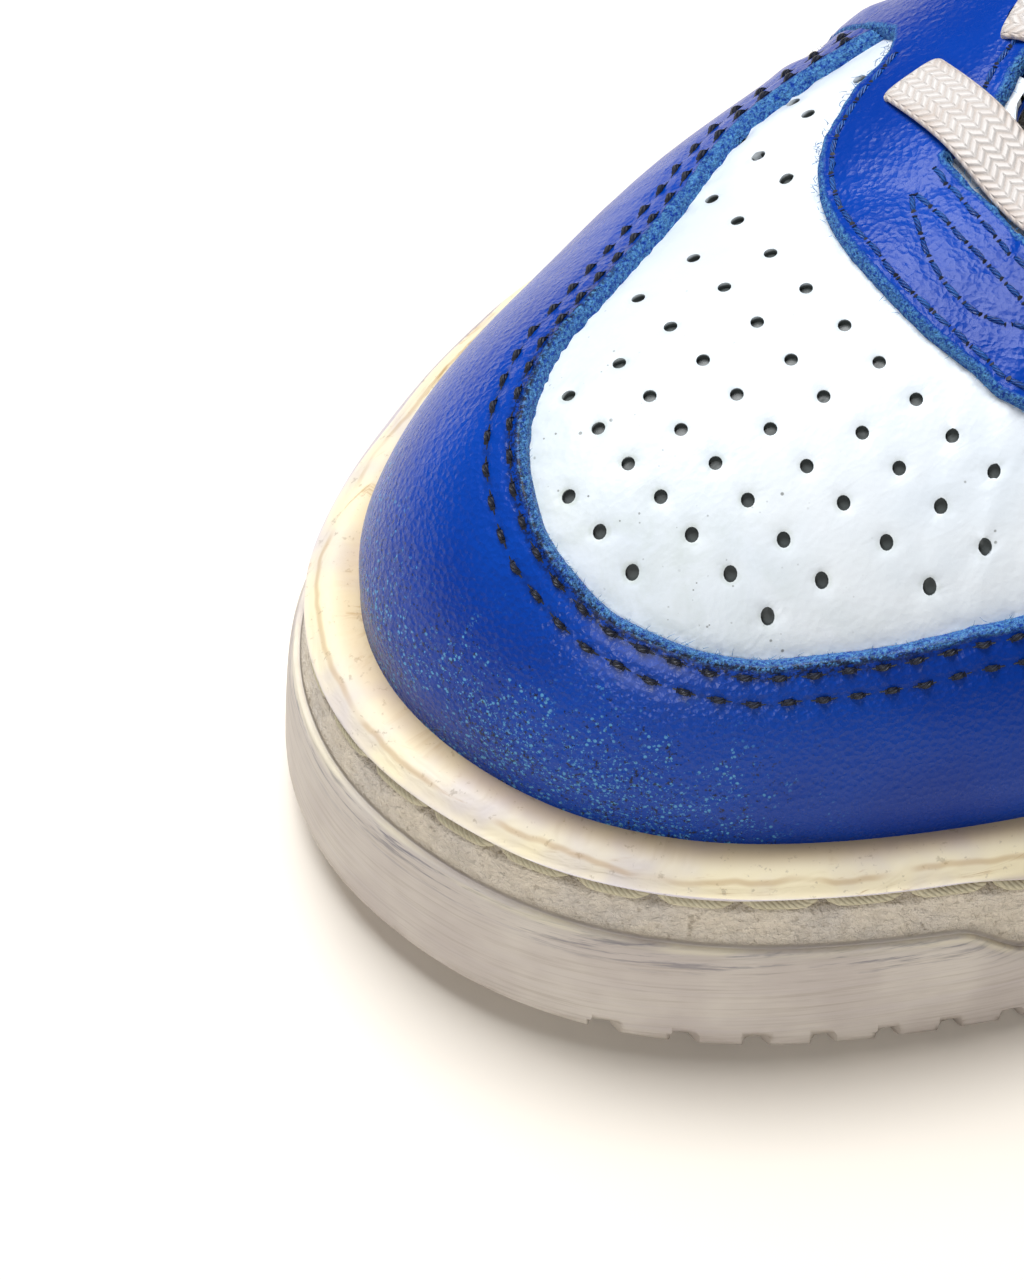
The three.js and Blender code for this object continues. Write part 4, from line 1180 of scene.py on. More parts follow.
@dataclass
class Stitcher:
    """Sews rows of single stitches on the last."""

    last: Last
    creases: Creases
    sides: int = 6
    rings: int = 6
    sway: float = 0.12
    # The radius of the dark disc painted as shade in each needle hole.
    needle: float = 0.34

    def row(self, mesher: Mesher, line: Array, lift: float, pitch: float, length: float, radius: float,
            sink: float = 0.5, holes: bool = True) -> None:
        """Sews a row.

        Args:
            mesher: where the stitches go.
            line: the row's line on the pattern.
            lift: the height of the leather's face over the last.
            pitch: from stitch to stitch.
            length: of a stitch.
            radius: of its thread.
            sink: how far its ends go down into the leather.
            holes: whether flat dark discs, painted shade for the needle holes, show at its ends, in the second
                material slot.
        """
        spots = self.last.lift(resample(line, 0.3))
        ground = self.last.surface(*spots.T)
        far, pattern = lengths(ground), self.last.pattern(spots)
        count = max(1, int(far[-1] // pitch))
        middles = (np.arange(count) + 0.5) * far[-1] / count
        t, turn = np.linspace(-0.5, 0.5, self.rings), circle(self.sides)
        size = radius * (0.55 + 0.45 * np.sqrt(np.clip(1 - (2 * t) ** 4, 0, 1)))
        for k, middle in enumerate(middles):
            at = middle + t * length
            here = self.last.lift(points_at(at, far, pattern))
            base, normal = self.last.surface(*here.T), self.last.normal(*here.T)
            crease = self.creases.depth(base)
            height = lift + crease + radius * 0.45 - sink * (2 * np.abs(t)) ** 3
            centre = base + normal * height[:, None]
            way = unit(np.gradient(centre, axis=0))
            wide = unit(np.cross(normal, way))
            centre = centre + wide * (self.sway * math.sin(k * 2.4) * (1 - 4 * t**2))[:, None]
            mesher.sheet(rings(centre, wide, normal, turn, size), True, True, u=at[:, None], v=turn)
            # A flat disc in the dark second slot at each end is painted shade where the thread dives into its needle
            # hole.
            for end in (0, -1) if holes else ():
                spot = base[end] + normal[end] * (lift + crease[end] + 0.03)
                disc = np.linspace(0, 2 * np.pi, 7, endpoint=False)[:, None]
                rim = spot + (np.cos(disc) * way[end] + np.sin(disc) * wide[end]) * self.needle
                mesher.add(np.vstack([rim, spot + normal[end] * 0.04]), fan_faces(7), 1, u=0.0, v=0.0)


@dataclass
class Fibres:
    """Short loose fibres along the raw edges of the leather."""

    last: Last
    per_mm: float = 3.2
    radius: float = 0.045
    taper: float = 0.7
    seed: int = 7
    thread: Mesher = field(default_factory=Mesher)

    def fray(self, line: Array, outer: float) -> None:
        """Frays one raw edge.

        Args:
            line: the edge, on the pattern.
            outer: how far the leather's face stands off the last.
        """
        rng = np.random.default_rng(self.seed)
        spots = self.last.lift(resample(line, 0.5))
        ground, normal = self.last.surface(*spots.T), self.last.normal(*spots.T)
        along = unit(np.gradient(ground, axis=0))
        side = np.cross(normal, along)
        t = np.linspace(0, 1, 4)[:, None]
        for _ in range(int(len(ground) * 0.5 * self.per_mm)):
            i = int(rng.integers(len(ground)))
            start = ground[i] + normal[i] * rng.uniform(0.35, 0.95) * outer + side[i] * rng.uniform(-0.5, 0.5)
            way = unit(along[i] * rng.normal(0, 1) + side[i] * rng.normal(0, 1) + normal[i] * rng.uniform(0.1, 0.9))
            bend = unit(along[i] * rng.normal(0, 1) + side[i] * rng.normal(0, 1) - normal[i] * 0.5)
            length = rng.uniform(0.35, 1.0)
            path = start + way * length * t + bend * length * 0.4 * t**2
            wide = unit(np.cross(way, bend) + 1e-6)[None]
            size = self.radius * (1 - self.taper * t[:, 0])
            self.thread.sheet(rings(path, wide, np.cross(way, wide), circle(3), size), around=True, u=0.0, v=0.0)

    def build(self, finish: Material) -> Piece:
        """Joins the fibres into one piece."""
        piece = self.thread.build("edge_fibres", [finish])
        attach(piece, "root")
        return piece


@dataclass
class CupSole:
    """The moulded cup sole with its lip, stitch channel, pebbled band and notched tread."""

    last: Last
    finishes: Finishes
    around: int = 560
    edge_round: float = 1.3
    band_inset: float = 2.9
    channel_width: float = 1.5
    channel_depth: float = 1.9
    lip_width: float = 9
    groove_pitch: float = 6.3
    groove_width: float = 2.8
    groove_depth: float = 2.7
    stitch_pitch: float = 9.4
    scallop_drop: float = 0.55
    scallop_swell: float = 0.22

    def _profile(self, share: Array) -> tuple[Array, Array, Array]:
        """The side's section at each share.

        Returns:
            How far out each level lies, its height above the tread, and its zone number.
        """
        step, channel, lip = self.last.wall_heights(share)
        edge, inset, cap = self.edge_round, self.band_inset, self.lip_width
        width, depth = self.channel_width, self.channel_depth
        rows = (
            (-0.9 * edge, 0, 0), (-0.28 * edge, 0.28 * edge, 0.04), (0, edge, 0.1),
            (-0.03 * inset, 0.3 * step, 0.35), (-0.1 * inset, 0.55 * step, 0.6), (-0.2 * inset, 0.8 * step, 0.82),
            (-0.3 * inset, step - 0.42 * inset, 0.9), (-0.38 * inset, step - 0.2 * inset, 0.96),
            (-0.46 * inset, step - 0.02 * inset, 1), (-0.58 * inset, step, 1.05),
            (-0.7 * inset, step + 0.03 * inset, 1.12), (-0.86 * inset, mix(step, channel, 0.3), 1.4),
            (-0.95 * inset, mix(step, channel, 0.6), 1.6), (-1.02 * inset, channel - 0.8 * width, 1.8),
            (-1.1 * inset, channel - 0.35 * width, 1.92), (-1.3 * inset, channel - 0.08 * width, 2),
            (-inset - 0.92 * depth, channel, 2.3), (-inset - depth, channel + 0.4 * width, 2.5),
            (-inset - 0.9 * depth, channel + 0.8 * width, 2.7), (-inset - 0.25 * depth, channel + 1.02 * width, 2.95),
            (-inset + 0.1, channel + 1.4 * width, 3.1), (-inset + 0.22, mix(channel, lip, 0.55), 3.3),
            (-inset - 0.05 * cap, lip - 0.16 * cap, 3.55), (-inset - 0.16 * cap, lip - 0.055 * cap, 3.75),
            (-inset - 0.34 * cap, lip + 0.01 * cap, 3.95),
        )
        out, height = (np.stack([np.broadcast_to(row[k], share.shape) for row in rows], axis=1) for k in (0, 1))
        zone = np.array([[row[2] for row in rows]], float)
        fine = np.linspace(0, len(rows) - 1, 2 * len(rows) + 14)
        low = np.clip(fine.astype(int), 0, len(rows) - 2)
        u = fine - low

        def ease(table: Array) -> Array:
            """Runs a soft curve through the rows' numbers."""
            padded = np.concatenate([table[..., :1], table, table[..., -1:]], axis=-1)
            a, b_, c, d = (padded[..., low + k] for k in range(4))
            return b_ + 0.5 * u * (c - a + u * (2 * a - 5 * b_ + 4 * c - d + u * (3 * (b_ - c) + d - a)))

        return ease(out), ease(height), ease(zone)[0]

    def build(self) -> Piece:
        """Builds the sole."""
        last, n = self.last, self.around
        side, share = (row[:-1] for row in lap(n))
        point, outward = last.outline(side, share)
        run = lengths(point)
        out, height, zone = self._profile(share)
        scallop = np.abs(np.sin(np.pi * run / self.stitch_pitch))[:, None] ** 0.5
        band_top = np.exp(-(((zone - 1.97) / 0.16) ** 2))[None]
        ripple = 0.16 * np.sin(run / 7.3) + 0.12 * np.sin(run / 3.1 + 1)
        height = height - self.scallop_drop * (1 - scallop) * band_top
        height = height + ripple[:, None] * smooth((zone - 2.9) / 0.4)[None]
        out = out + self.scallop_swell * scallop * band_top
        base = last.tread_height(point[:, 0])[:, None]
        rim = np.concatenate([point[:, None] + outward[:, None] * out[..., None], (base + height)[..., None]], -1)
        rises = np.linspace(0, 0.7, 60)
        wall_z = last.surface(side[:, None], share[:, None], rises[None])[..., 2]
        meet = np.array([np.interp(z, row, rises) for z, row in zip(last.lip_z(side, share), wall_z)])
        closing = [last.place(side, share, *spot) for spot in ((meet, 0.1), (meet, -1), (0 * meet, -1))]
        closing[1][:, 2] -= 1
        columns = np.concatenate([rim, np.stack(closing, axis=1)], axis=1)
        zones = np.concatenate([zone, [4.2, 4.4, 4.6]])
        count, levels = columns.shape[:2]
        mesher, top = Mesher(), levels - 1
        mesher.add(columns.reshape(-1, 3), (grid_faces(count + 1, levels) % (count * levels))[:, ::-1],
                   u=np.repeat(run, levels), v=columns[..., 2].ravel(), zone=np.tile(zones, count))
        caps = []
        for i in range(n - 1):
            a, b_, c, d = (k % count * levels for k in (i, -i, -i - 1, i + 1))
            caps += [(a, b_, c, d), (a + top, d + top, c + top, b_ + top)]
        mesher.close(caps)
        sole = mesher.build("sole", [self.finishes.rubber], 40)
        turn_outward(sole)
        self._notch(sole)
        return dress(sole, "cupsole")

    def _notch(self, sole: Piece) -> None:
        """Cuts the cross grooves in the tread, open at both sides."""
        size, w, cutter = self.last.sole_length, self.groove_width, Mesher()
        for start, stop in ((0.4575, 0.16), (-0.25, -0.42)):
            for x in np.arange(start * size, stop * size, -self.groove_pitch):
                roof = float(self.last.tread_height(x)) + self.groove_depth
                half = ((0.5 * w, -2), (0.44 * w, roof - 0.9), (0.34 * w, roof - 0.2), (0.12 * w, roof))
                ring = ((-0.5 * w, -2), *half, *((-a, z) for a, z in half[:0:-1]))
                first, m = cutter.count, len(ring)
                cutter.sheet(np.array([[(x + a, y, z) for a, z in ring] for y in (-70, 70)]), around=True)
                cutter.close([range(first, first + m)[::-1], range(first + m, first + 2 * m)])
        knife = cutter.build("groove_cutter", [self.finishes.rubber])
        turn_outward(knife)
        choose(sole)
        cut = sole.modifiers.new("grooves", "BOOLEAN")
        cut.operation, cut.object, cut.solver = "DIFFERENCE", knife, "MANIFOLD"
        bpy.ops.object.modifier_apply(modifier=cut.name)
        bpy.data.objects.remove(knife, do_unlink=True)


@dataclass
class Upper:
    """The lasted upper: its body with padded collar and lining, and the panels sewn over it."""

    last: Last
    creases: Creases
    finishes: Finishes
    around: int = 230
    eyelet_radius: float = 2.1
    toe_sink: float = 1.3
    roll_height: float = 0.85

    def body(self) -> Piece:
        """The body: outer leather, rolled collar and lining."""
        last, mesher = self.last, Mesher()
        shares = np.linspace(0, 1, self.around)
        rises = np.concatenate([np.linspace(0.06, 0.9, 42), np.linspace(0.92, 1, 7)])
        inner = np.concatenate([np.linspace(1, 0.55, 18), np.linspace(0.5, 0.02, 12)])
        for side in (1, -1):
            s, r = np.meshgrid(shares, rises, indexing="ij")
            sunk = self.toe_sink * smooth((s - 0.72) / 0.04)
            outside = last.place(side, s, r, self.creases.depth(last.surface(side, s, r)) - sunk)
            s, r = np.meshgrid(shares, inner, indexing="ij")
            pad = smooth((r - 0.55) / 0.3) * smooth((0.5 - s) / 0.08)
            lining = last.place(side, s, r, -last.leather - last.collar_pad * pad)
            a, b_ = outside[:, -1], lining[:, 0]
            middle, arm = (a + b_) / 2, (a - b_) / 2
            crown = unit(a - outside[:, -4]) * np.linalg.norm(arm, axis=1, keepdims=True) * self.roll_height
            crown[shares >= THROAT_FRONT] = 0
            roll = [middle + arm * math.cos(t) + crown * math.sin(t) for t in np.linspace(0, np.pi, 9)[1:-1]]
            sheet = np.concatenate([outside, np.stack(roll, axis=1), lining], axis=1)
            columns = sheet.shape[1]
            slots = np.zeros((self.around - 1, columns - 1), int)
            slots[:, outside.shape[1] + 3:] = 1
            slots[:, outside.shape[1] - 1:][shares[:-1] < 0.47] = 1
            throat = (shares[:-1] > 0.47) & (shares[:-1] < 0.84)
            slots[np.ix_(throat, np.arange(36, outside.shape[1] + 5))] = 2
            rise_run = np.concatenate([lengths(column)[None] for column in sheet])
            low = sheet[..., 2] - last.lip_z(side, shares)[:, None]
            mesher.sheet(sheet, flip=side > 0, slot=slots.ravel(), u=lengths(sheet[:, 20])[:, None], v=rise_run,
                         low=low, edge=FAR, seam=FAR, hole=FAR, hem=FAR)
        finishes = [self.finishes.white, self.finishes.lining, self.finishes.blue]
        return dress(mesher.build("upper_body", finishes, 60), "upper")

    def plan(self, rows: Places) -> Array:
        """Pattern points of a line drawn in plan, in millimetres."""
        return self.last.pattern(self.last.over(rows))

    def drawn(self, side: int, rows: Places) -> Array:
        """Pattern points of a line drawn from one side, in millimetres."""
        return self.last.pattern(self.last.beside(side, rows))

    def foot_line(self, start: tuple[int, float], stop: tuple[int, float], tip: float = 1, count: int = 100) -> Array:
        """Pattern points along the foot between two places, each a side and a share.

        Args:
            start: the first place.
            stop: the last place.
            tip: the share at which the line changes sides: 1 at the toe's tip, 0 at the heel's.
            count: how many points each side has.

        Returns:
            The points, one a row.
        """
        (a, first), (b_, final) = start, stop
        if a == b_:
            return self.last.flat(a, np.linspace(first, final, 120), FOOT_RISE)
        share = np.concatenate([np.linspace(first, tip, count), np.linspace(tip, final, count)[1:]])
        return self.last.flat(np.repeat((a, b_), (count, count - 1)), share, FOOT_RISE)


# Edges drawn in plan, from the medial to the lateral side, in millimetres.
TOE_EDGE = (
    (57.5, -31.2), (63, -32.3), (69, -32.9), (75, -32.2), (81, -30), (87, -27.4), (94, -24.7),
    (103.7, -20.9), (110.9, -18.3), (116.9, -14.3), (120.6, -10.7), (123.2, -6.3), (124.9, -1.1),
    (124.8, 4.1), (124, 8), (121.8, 12.1), (118.6, 16.4), (114, 20.5), (108.3, 23.8), (102, 27),
    (97.2, 29.1), (92.2, 31.2), (87.9, 33), (79.6, 35), (70.6, 36), (58.1, 37.4),
)
SADDLE_EDGE = (
    (57.5, -29), (59.6, -26.9), (62.7, -25.4), (66.5, -24.5), (70.4, -22.6), (74.4, -20.3), (78.2, -16),
    (80.2, -12.3), (81.7, -7.1), (82.1, -0.7), (81.6, 6.6), (80.3, 12.1), (79.3, 17), (77, 20.6), (73, 23.6),
    (67, 26.4), (62, 29), (57.5, 32),
)


@dataclass
class Panels:
    """The leather pieces over the body, in the order in which they are sewn."""

    upper: Upper
    mudguard_rows: tuple[float, ...] = (1.6, 4.3)
    counter_rows: tuple[float, ...] = (2.2, 4.8)
    rim_row: float = 2.4
    wing_row: float = 2.2
    wing_x: float = 57.5
    wing_back: float = 27
    perforation: float = 0.74

    def __post_init__(self) -> None:
        """Draws the lines that the pieces share."""
        self.last = self.upper.last
        self.fibres = Fibres(self.last)
        self.toe_line, self.saddle_line = (self.upper.plan(spline(edge)) for edge in (TOE_EDGE, SADDLE_EDGE))

    def _share_at(self, side: int, x: float, rise: float = FOOT_RISE) -> float:
        """The share at which a height on one side has the given x."""
        shares = np.linspace(0.5, 0.9, 400)
        return float(np.interp(x, self.last.surface(side, shares, rise)[:, 0], shares))

    def _climb(self, side: int, x: float, foot: float, edge: Places) -> Array:
        """A line on the pattern straight up one side at x, from a rise near the foot to the end of an edge."""
        rises = np.linspace(foot, self.last.over([edge[-1 if side > 0 else 0]])[0][2], 30)
        return self.last.flat(side, [self._share_at(side, x, rise) for rise in rises], rises)

    def _offset_line(self, line: Array, gap: float) -> Array:
        """A line on the last at an even distance from another, on its left, as pattern points."""
        spots = self.last.lift(resample(line, 0.6))
        ground, normal = self.last.surface(*spots.T), self.last.normal(*spots.T)
        for _ in range(6):
            ground[1:-1] = (ground[:-2] + 2 * ground[1:-1] + ground[2:]) / 4
        return self.last.nearest(ground + np.cross(normal, unit(np.gradient(ground, axis=0))) * gap)

    def _sewn(
        self, name: str, node: str, cut: dict[str, Any], rows: Sequence[Array], thread: Material,
        runs: Sequence[tuple], frayed: bool = True,
    ) -> list[Piece]:
        """Cuts a blue overlay and sews it on.

        Args:
            name: the start of its pieces' names.
            node: the CAD node that it replaces.
            cut: its outline, raw edges, holes and seams, as the cutter takes them.
            rows: the lines of stitches.
            thread: the stitches' finish.
            runs: for each pass, how deep it lies in the leather, and then the stitcher's numbers.
            frayed: whether fibres stand out from its raw edges.

        Returns:
            The leather and its stitches.
        """
        face, back = Thickness.OVERLAY.value, Thickness.OVERLAY_BACK.value
        leather, stitches = Mesher(), Mesher()
        Cutter(self.last, self.upper.creases, back, face).cut(leather, **cut)
        for edge in cut["raw"] if frayed else ():
            self.fibres.fray(edge, face)
        piece = dress(leather.build(f"{name}_leather", [self.upper.finishes.blue], 60), node)
        sewer = Stitcher(self.last, self.upper.creases)
        for row in rows:
            for depth, *numbers in runs:
                sewer.row(stitches, row, face - depth, *numbers)
        # The navy second slot paints the shade of the needle holes.
        sewn = stitches.build(f"{name}_stitches", [thread, self.upper.finishes.navy])
        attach(sewn, "root")
        return [piece, sewn]

    def toe_box(self) -> Piece:
        """The white toe box with its punched holes."""
        columns = (
            ((121.2, -3), (120.9, 2.1), (120.4, 7.2)),
            ((114.4, -12.3), (114.7, -6.6), (114.7, -1.3), (114, 3.5), (113.6, 8.4), (112.4, 13.6), (111.2, 18.6)),
            ((108.2, -11.7), (108.5, -5.9), (108.2, -0.8), (107.5, 4.3), (107, 9.3), (106.1, 14.4), (104.8, 19.4)),
            ((100.7, -18.4), (101.4, -11.8), (101.6, -5.8), (101.3, -0.3), (100.8, 4.9), (100, 10.2), (98.9, 15.2),
             (97.2, 20.5), (95.5, 25.9)),
            ((92.9, -19), (93.9, -12.3), (94.4, -5.9), (94.4, 0), (94.2, 5.4), (93.2, 10.8), (92.1, 15.8),
             (90.6, 21.1), (88.8, 26.6)),
            ((85.1, -26), (86.1, -20.2), (87.3, -12.9), (87.8, -6.1), (87.5, 0.2), (87.2, 5.8), (86.5, 11.3),
             (85.7, 16.5), (84.2, 21.8), (82.1, 27.2)),
            ((76.8, -31.9), (78.1, -26.9), (79, -21), (79.2, 22.5), (77, 28), (75, 33)),
            ((69.5, -31.9), (70.8, -27.7), (70, 29.5)), ((64, -27.4),),
        )
        turn, mesher = circle(14), Mesher()
        ring = np.stack([np.cos(turn), np.sin(turn)], axis=1) * self.perforation
        holes = [self.upper.plan(np.array(place) + ring) for column in columns for place in column]
        wide = np.array(TOE_EDGE) + unit(np.array(TOE_EDGE) - (90, 0)) * 2.2
        outline = self.upper.plan(np.vstack([spline(wide, 5), [(56, 20), (56, -20)]]))
        cutter = Cutter(self.last, self.upper.creases, Thickness.BASE_BACK.value, Thickness.BASE.value)
        cutter.cut(mesher, outline, [self.toe_line, self.saddle_line], holes)
        return dress(mesher.build("toe_box", [self.upper.finishes.white], 45), "upper")

    def mudguard(self) -> list[Piece]:
        """The blue mudguard and its two rows of dark stitches."""
        x = self.wing_x + 0.3
        foot = self.upper.foot_line(*((side, self._share_at(side, x)) for side in (1, -1)))
        left, right = (self._climb(side, x, 0.14, TOE_EDGE) for side in (1, -1))
        rows = [self._offset_line(self.toe_line, -gap) for gap in self.mudguard_rows]
        cut = {"outline": np.vstack([self.toe_line, left[::-1], foot, right]), "raw": [self.toe_line], "seams": rows}
        return self._sewn("mudguard", "mudguard", cut, [row[3:-3] for row in rows], self.upper.finishes.navy,
                          [(0.14, 3.6, 1.5, 0.37), (0.3, 3.6, 3.6, 0.15, 0.1, False)])

    def saddle(self) -> list[Piece]:
        """The blue saddle with its wings, lace opening, eyelets and stitches."""
        upper, last = self.upper, self.last
        back, front, rims, feet = {}, {}, {}, {}
        wing = spline(((-40.5, 93), (-33.1, 84.5), (-20, 76.5), (-3.9, 68.5), (10.1, 59.5), (19.1, 49), (24.4, 36),
                       (27.1, 20)))
        for side in (1, -1):
            back[side] = upper.drawn(side, wing)
            front[side] = self._climb(side, self.wing_x, FOOT_RISE, SADDLE_EDGE)
            rims[side] = last.flat(side, np.linspace(0.775, 0.475, 60), 0.985)
            ends = [(side, self._share_at(side, x)) for x in (self.wing_x, self.wing_back)]
            feet[side] = upper.foot_line(*ends[::side])
        opening = upper.plan([(66.7, -9), (66.7, 0), (66.7, 9.5)])
        outline = np.vstack([
            self.saddle_line, front[1][::-1], feet[1], back[1][::-1], rims[1][::-1], opening[::-1],
            rims[-1], back[-1], feet[-1], front[-1],
        ])
        seams = [upper.plan(spline(row)) for row in (
            ((60, -24.9), (64.5, -23.4), (69.8, -21.4), (75, -17.6), (77.1, -14.6), (78.9, -11.1), (79.8, -5.4),
             (80.2, -0.1), (80, 3.3), (79.2, 8.6), (78.2, 14), (77.3, 17.4), (74.6, 19.9), (70, 22.4), (64.8, 24.8),
             (60, 27.4)),
            ((72.2, -7.8), (74, -5), (75.3, -2), (76.5, 1.6), (76.7, 4), (76.4, 7), (75.6, 9.4), (74.2, 11.6),
             (72.3, 13.6)),
            ((72, -7.6), (71.9, -3), (71.9, 3), (71.6, 9), (72, 13.2)),
            ((68.4, -9.2), (68.9, -3), (69.1, 5.8), (68.4, 11.4)),
        )]
        seams += [self._offset_line(rims[side], -side * self.rim_row) for side in (1, -1)]
        seams += [self._offset_line(back[side], -side * self.wing_row)[4:-6] for side in (1, -1)]
        cut = {
            "outline": outline, "holes": [self._eyelet(place) for place in self.eyelets()], "seams": seams,
            "raw": [self.saddle_line, back[1], back[-1], rims[1], rims[-1], opening, front[1], front[-1]],
        }
        return self._sewn("saddle", "eyestay", cut, seams, upper.finishes.azure, [(0.2, 2.7, 2.5, 0.3, 0.4)])

    def eyelets(self) -> list[Array]:
        """Places of the eyelets on the last, front pair first, lateral before medial."""
        places = [self.last.over([(62.4, side * 18.8)])[0] for side in (1, -1)]
        rises = np.linspace(1, 0.5, 400)
        for share in (0.729, 0.677, 0.632, 0.585, 0.535, 0.49):
            for side in (1, -1):
                line = self.last.surface(side, share, rises)
                far = np.linalg.norm(line - line[0], axis=1)
                places.append(np.array([side, share, np.interp(7, far, rises)]))
        return places

    def _eyelet(self, place: Array) -> Array:
        """An eyelet's round hole on the pattern."""
        a = unit(np.cross(self.last.normal(*place), (0, 1, 0)))
        b_ = np.cross(self.last.normal(*place), a)
        ring = rings(self.last.surface(*place)[None], a[None], b_[None], circle(16), self.upper.eyelet_radius)
        return self.last.nearest(ring[0])

    def fray(self) -> Piece:
        """The loose fibres of every raw edge cut so far."""
        return self.fibres.build(self.upper.finishes.fibre)

    def counter(self) -> list[Piece]:
        """The blue heel counter and its stitches."""
        last, lines, backs, start = self.last, {}, {}, []
        rises = np.linspace(0.2, 1, 300)
        front = spline(((-95.1, 32), (-98.9, 48), (-107, 60), (-118.9, 71), (-130, 77.4)))
        for side in (1, -1):
            lines[side] = self.upper.drawn(side, front)
            start.append((side, last.lift(lines[side][:1])[0][1]))
            share = np.linspace(last.lift(lines[side][-1:])[0][1], 0, 26)[1:]
            height = last.surface(side, share[:, None], rises[None])[..., 2]
            goal = mix(77.6, 82.5, smooth(np.linspace(0.04, 1, 25)))
            rise = np.array([np.interp(z, row, rises) for z, row in zip(goal, height)])
            backs[side] = last.flat(side, share, rise)
        top = np.vstack([lines[1], backs[1], backs[-1][::-1][1:], lines[-1][::-1]])
        foot = self.upper.foot_line(*start, tip=0, count=60)
        rows = [self._offset_line(top, -gap)[6:-6] for gap in self.counter_rows]
        cut = {"outline": np.vstack([top, foot[::-1]]), "raw": [top], "seams": rows}
        return self._sewn("counter", "heel_counter", cut, rows, self.upper.finishes.azure,
                          [(0.2, 2.8, 2.2, 0.3, 0.45)], frayed=False)


@dataclass
class Tongue:
    """The padded fabric tongue."""

    last: Last
    finishes: Finishes
    thickness: float = 7.5
    depth: float = 6.3
    stand: float = 24.5
    crown: float = 0.9
    rows: tuple[tuple[float, ...], ...] = (
        (0.248, 0.34, 0, 0.31, 0.35, 0.07), (0.215, 0.36, 0, 0.38, 0.4, 0.11), (0.168, 0.7, 0, 0.457, 0.6, 0.165),
        (0.104, 0.95, 0, 0.493, 0.8, 0.22), (0.034, 1, 0, 0.475, 0.93, 0.24), (-0.04, 1, 0, 0.42, 1, 0.2),
        (-0.101, 0.35, 0, 0.347, 1, 0.165), (-0.148, 0, 0.39, 0.356, 1, 0.13), (-0.178, 0, 0.8, 0.42, 0.87, 0.11),
        (-0.191, 0, 1, 0.347, 0.53, 0.07),
    )

    def build(self) -> Piece:
        """Builds the tongue as a closed crowned pad."""
        half = self.last.ball_width / 2
        rows = np.array(self.rows)
        x = rows[:, 0] * self.last.sole_length
        z = self.last.edge_height(x) - rows[:, 1] * self.depth + rows[:, 2] * self.stand
        table = np.column_stack([x, z, rows[:, 3] * half, rows[:, 4] * self.thickness, rows[:, 5] * half])
        x, z, wide, deep, drop = spline(table, 9).T[..., None]
        way = unit(np.gradient(np.column_stack([x, z]), axis=0))
        up_x, up_z = (np.stack([-way[:, 1], way[:, 0]]) * np.where(way[:, 0] < 0, -1, 1))[..., None]
        across, end = np.linspace(-1, 1, 41), np.linspace(0, 1, len(x))[:, None]
        close = np.sqrt(np.clip(1 - smooth((end - 0.93) / 0.07) ** 2, 0, 1))
        thick = deep * (0.5 + 0.5 * np.sqrt(np.clip(1 - across**6, 0, 1)) * close)
        crown = self.crown * (1 - across**2) * close * smooth((end - 0.3) / 0.2)
        width, fall = wide * across * (0.97 + 0.03 * close), drop * across**2
        top, low = (
            np.stack([x - up_x * down, width, z - up_z * down], -1)
            for down in (fall + (deep - thick) * 0.5 - crown, fall + thick * 0.98)
        )
        loop = np.concatenate([top, low[:, -2:0:-1]], axis=1)
        n, m = loop.shape[:2]
        mesher, run = Mesher(), lengths(np.column_stack([x, z]))
        there_and_back = np.concatenate([across, across[-2:0:-1]])
        hem = np.minimum((1 - np.abs(there_and_back)) * wide, (run[-1] - run)[:, None])
        mesher.sheet(loop, around=True, u=run[:, None], v=there_and_back * wide, hem=hem)
        for row, turn in ((0, 1), (n - 1, -1)):
            caps = []
            for k in range(40):
                a, b_ = row * m + k, row * m + k + 1
                c, d = row * m + (m - k - 1) % m, row * m + (m - k) % m
                caps.append(tuple(dict.fromkeys((a, b_, c, d) if k < 39 else (a, b_, d)))[::turn])
            mesher.close(caps)
        piece = mesher.build("tongue_pad", [self.finishes.tongue], 60)
        turn_outward(piece)
        return dress(piece, "tongue")


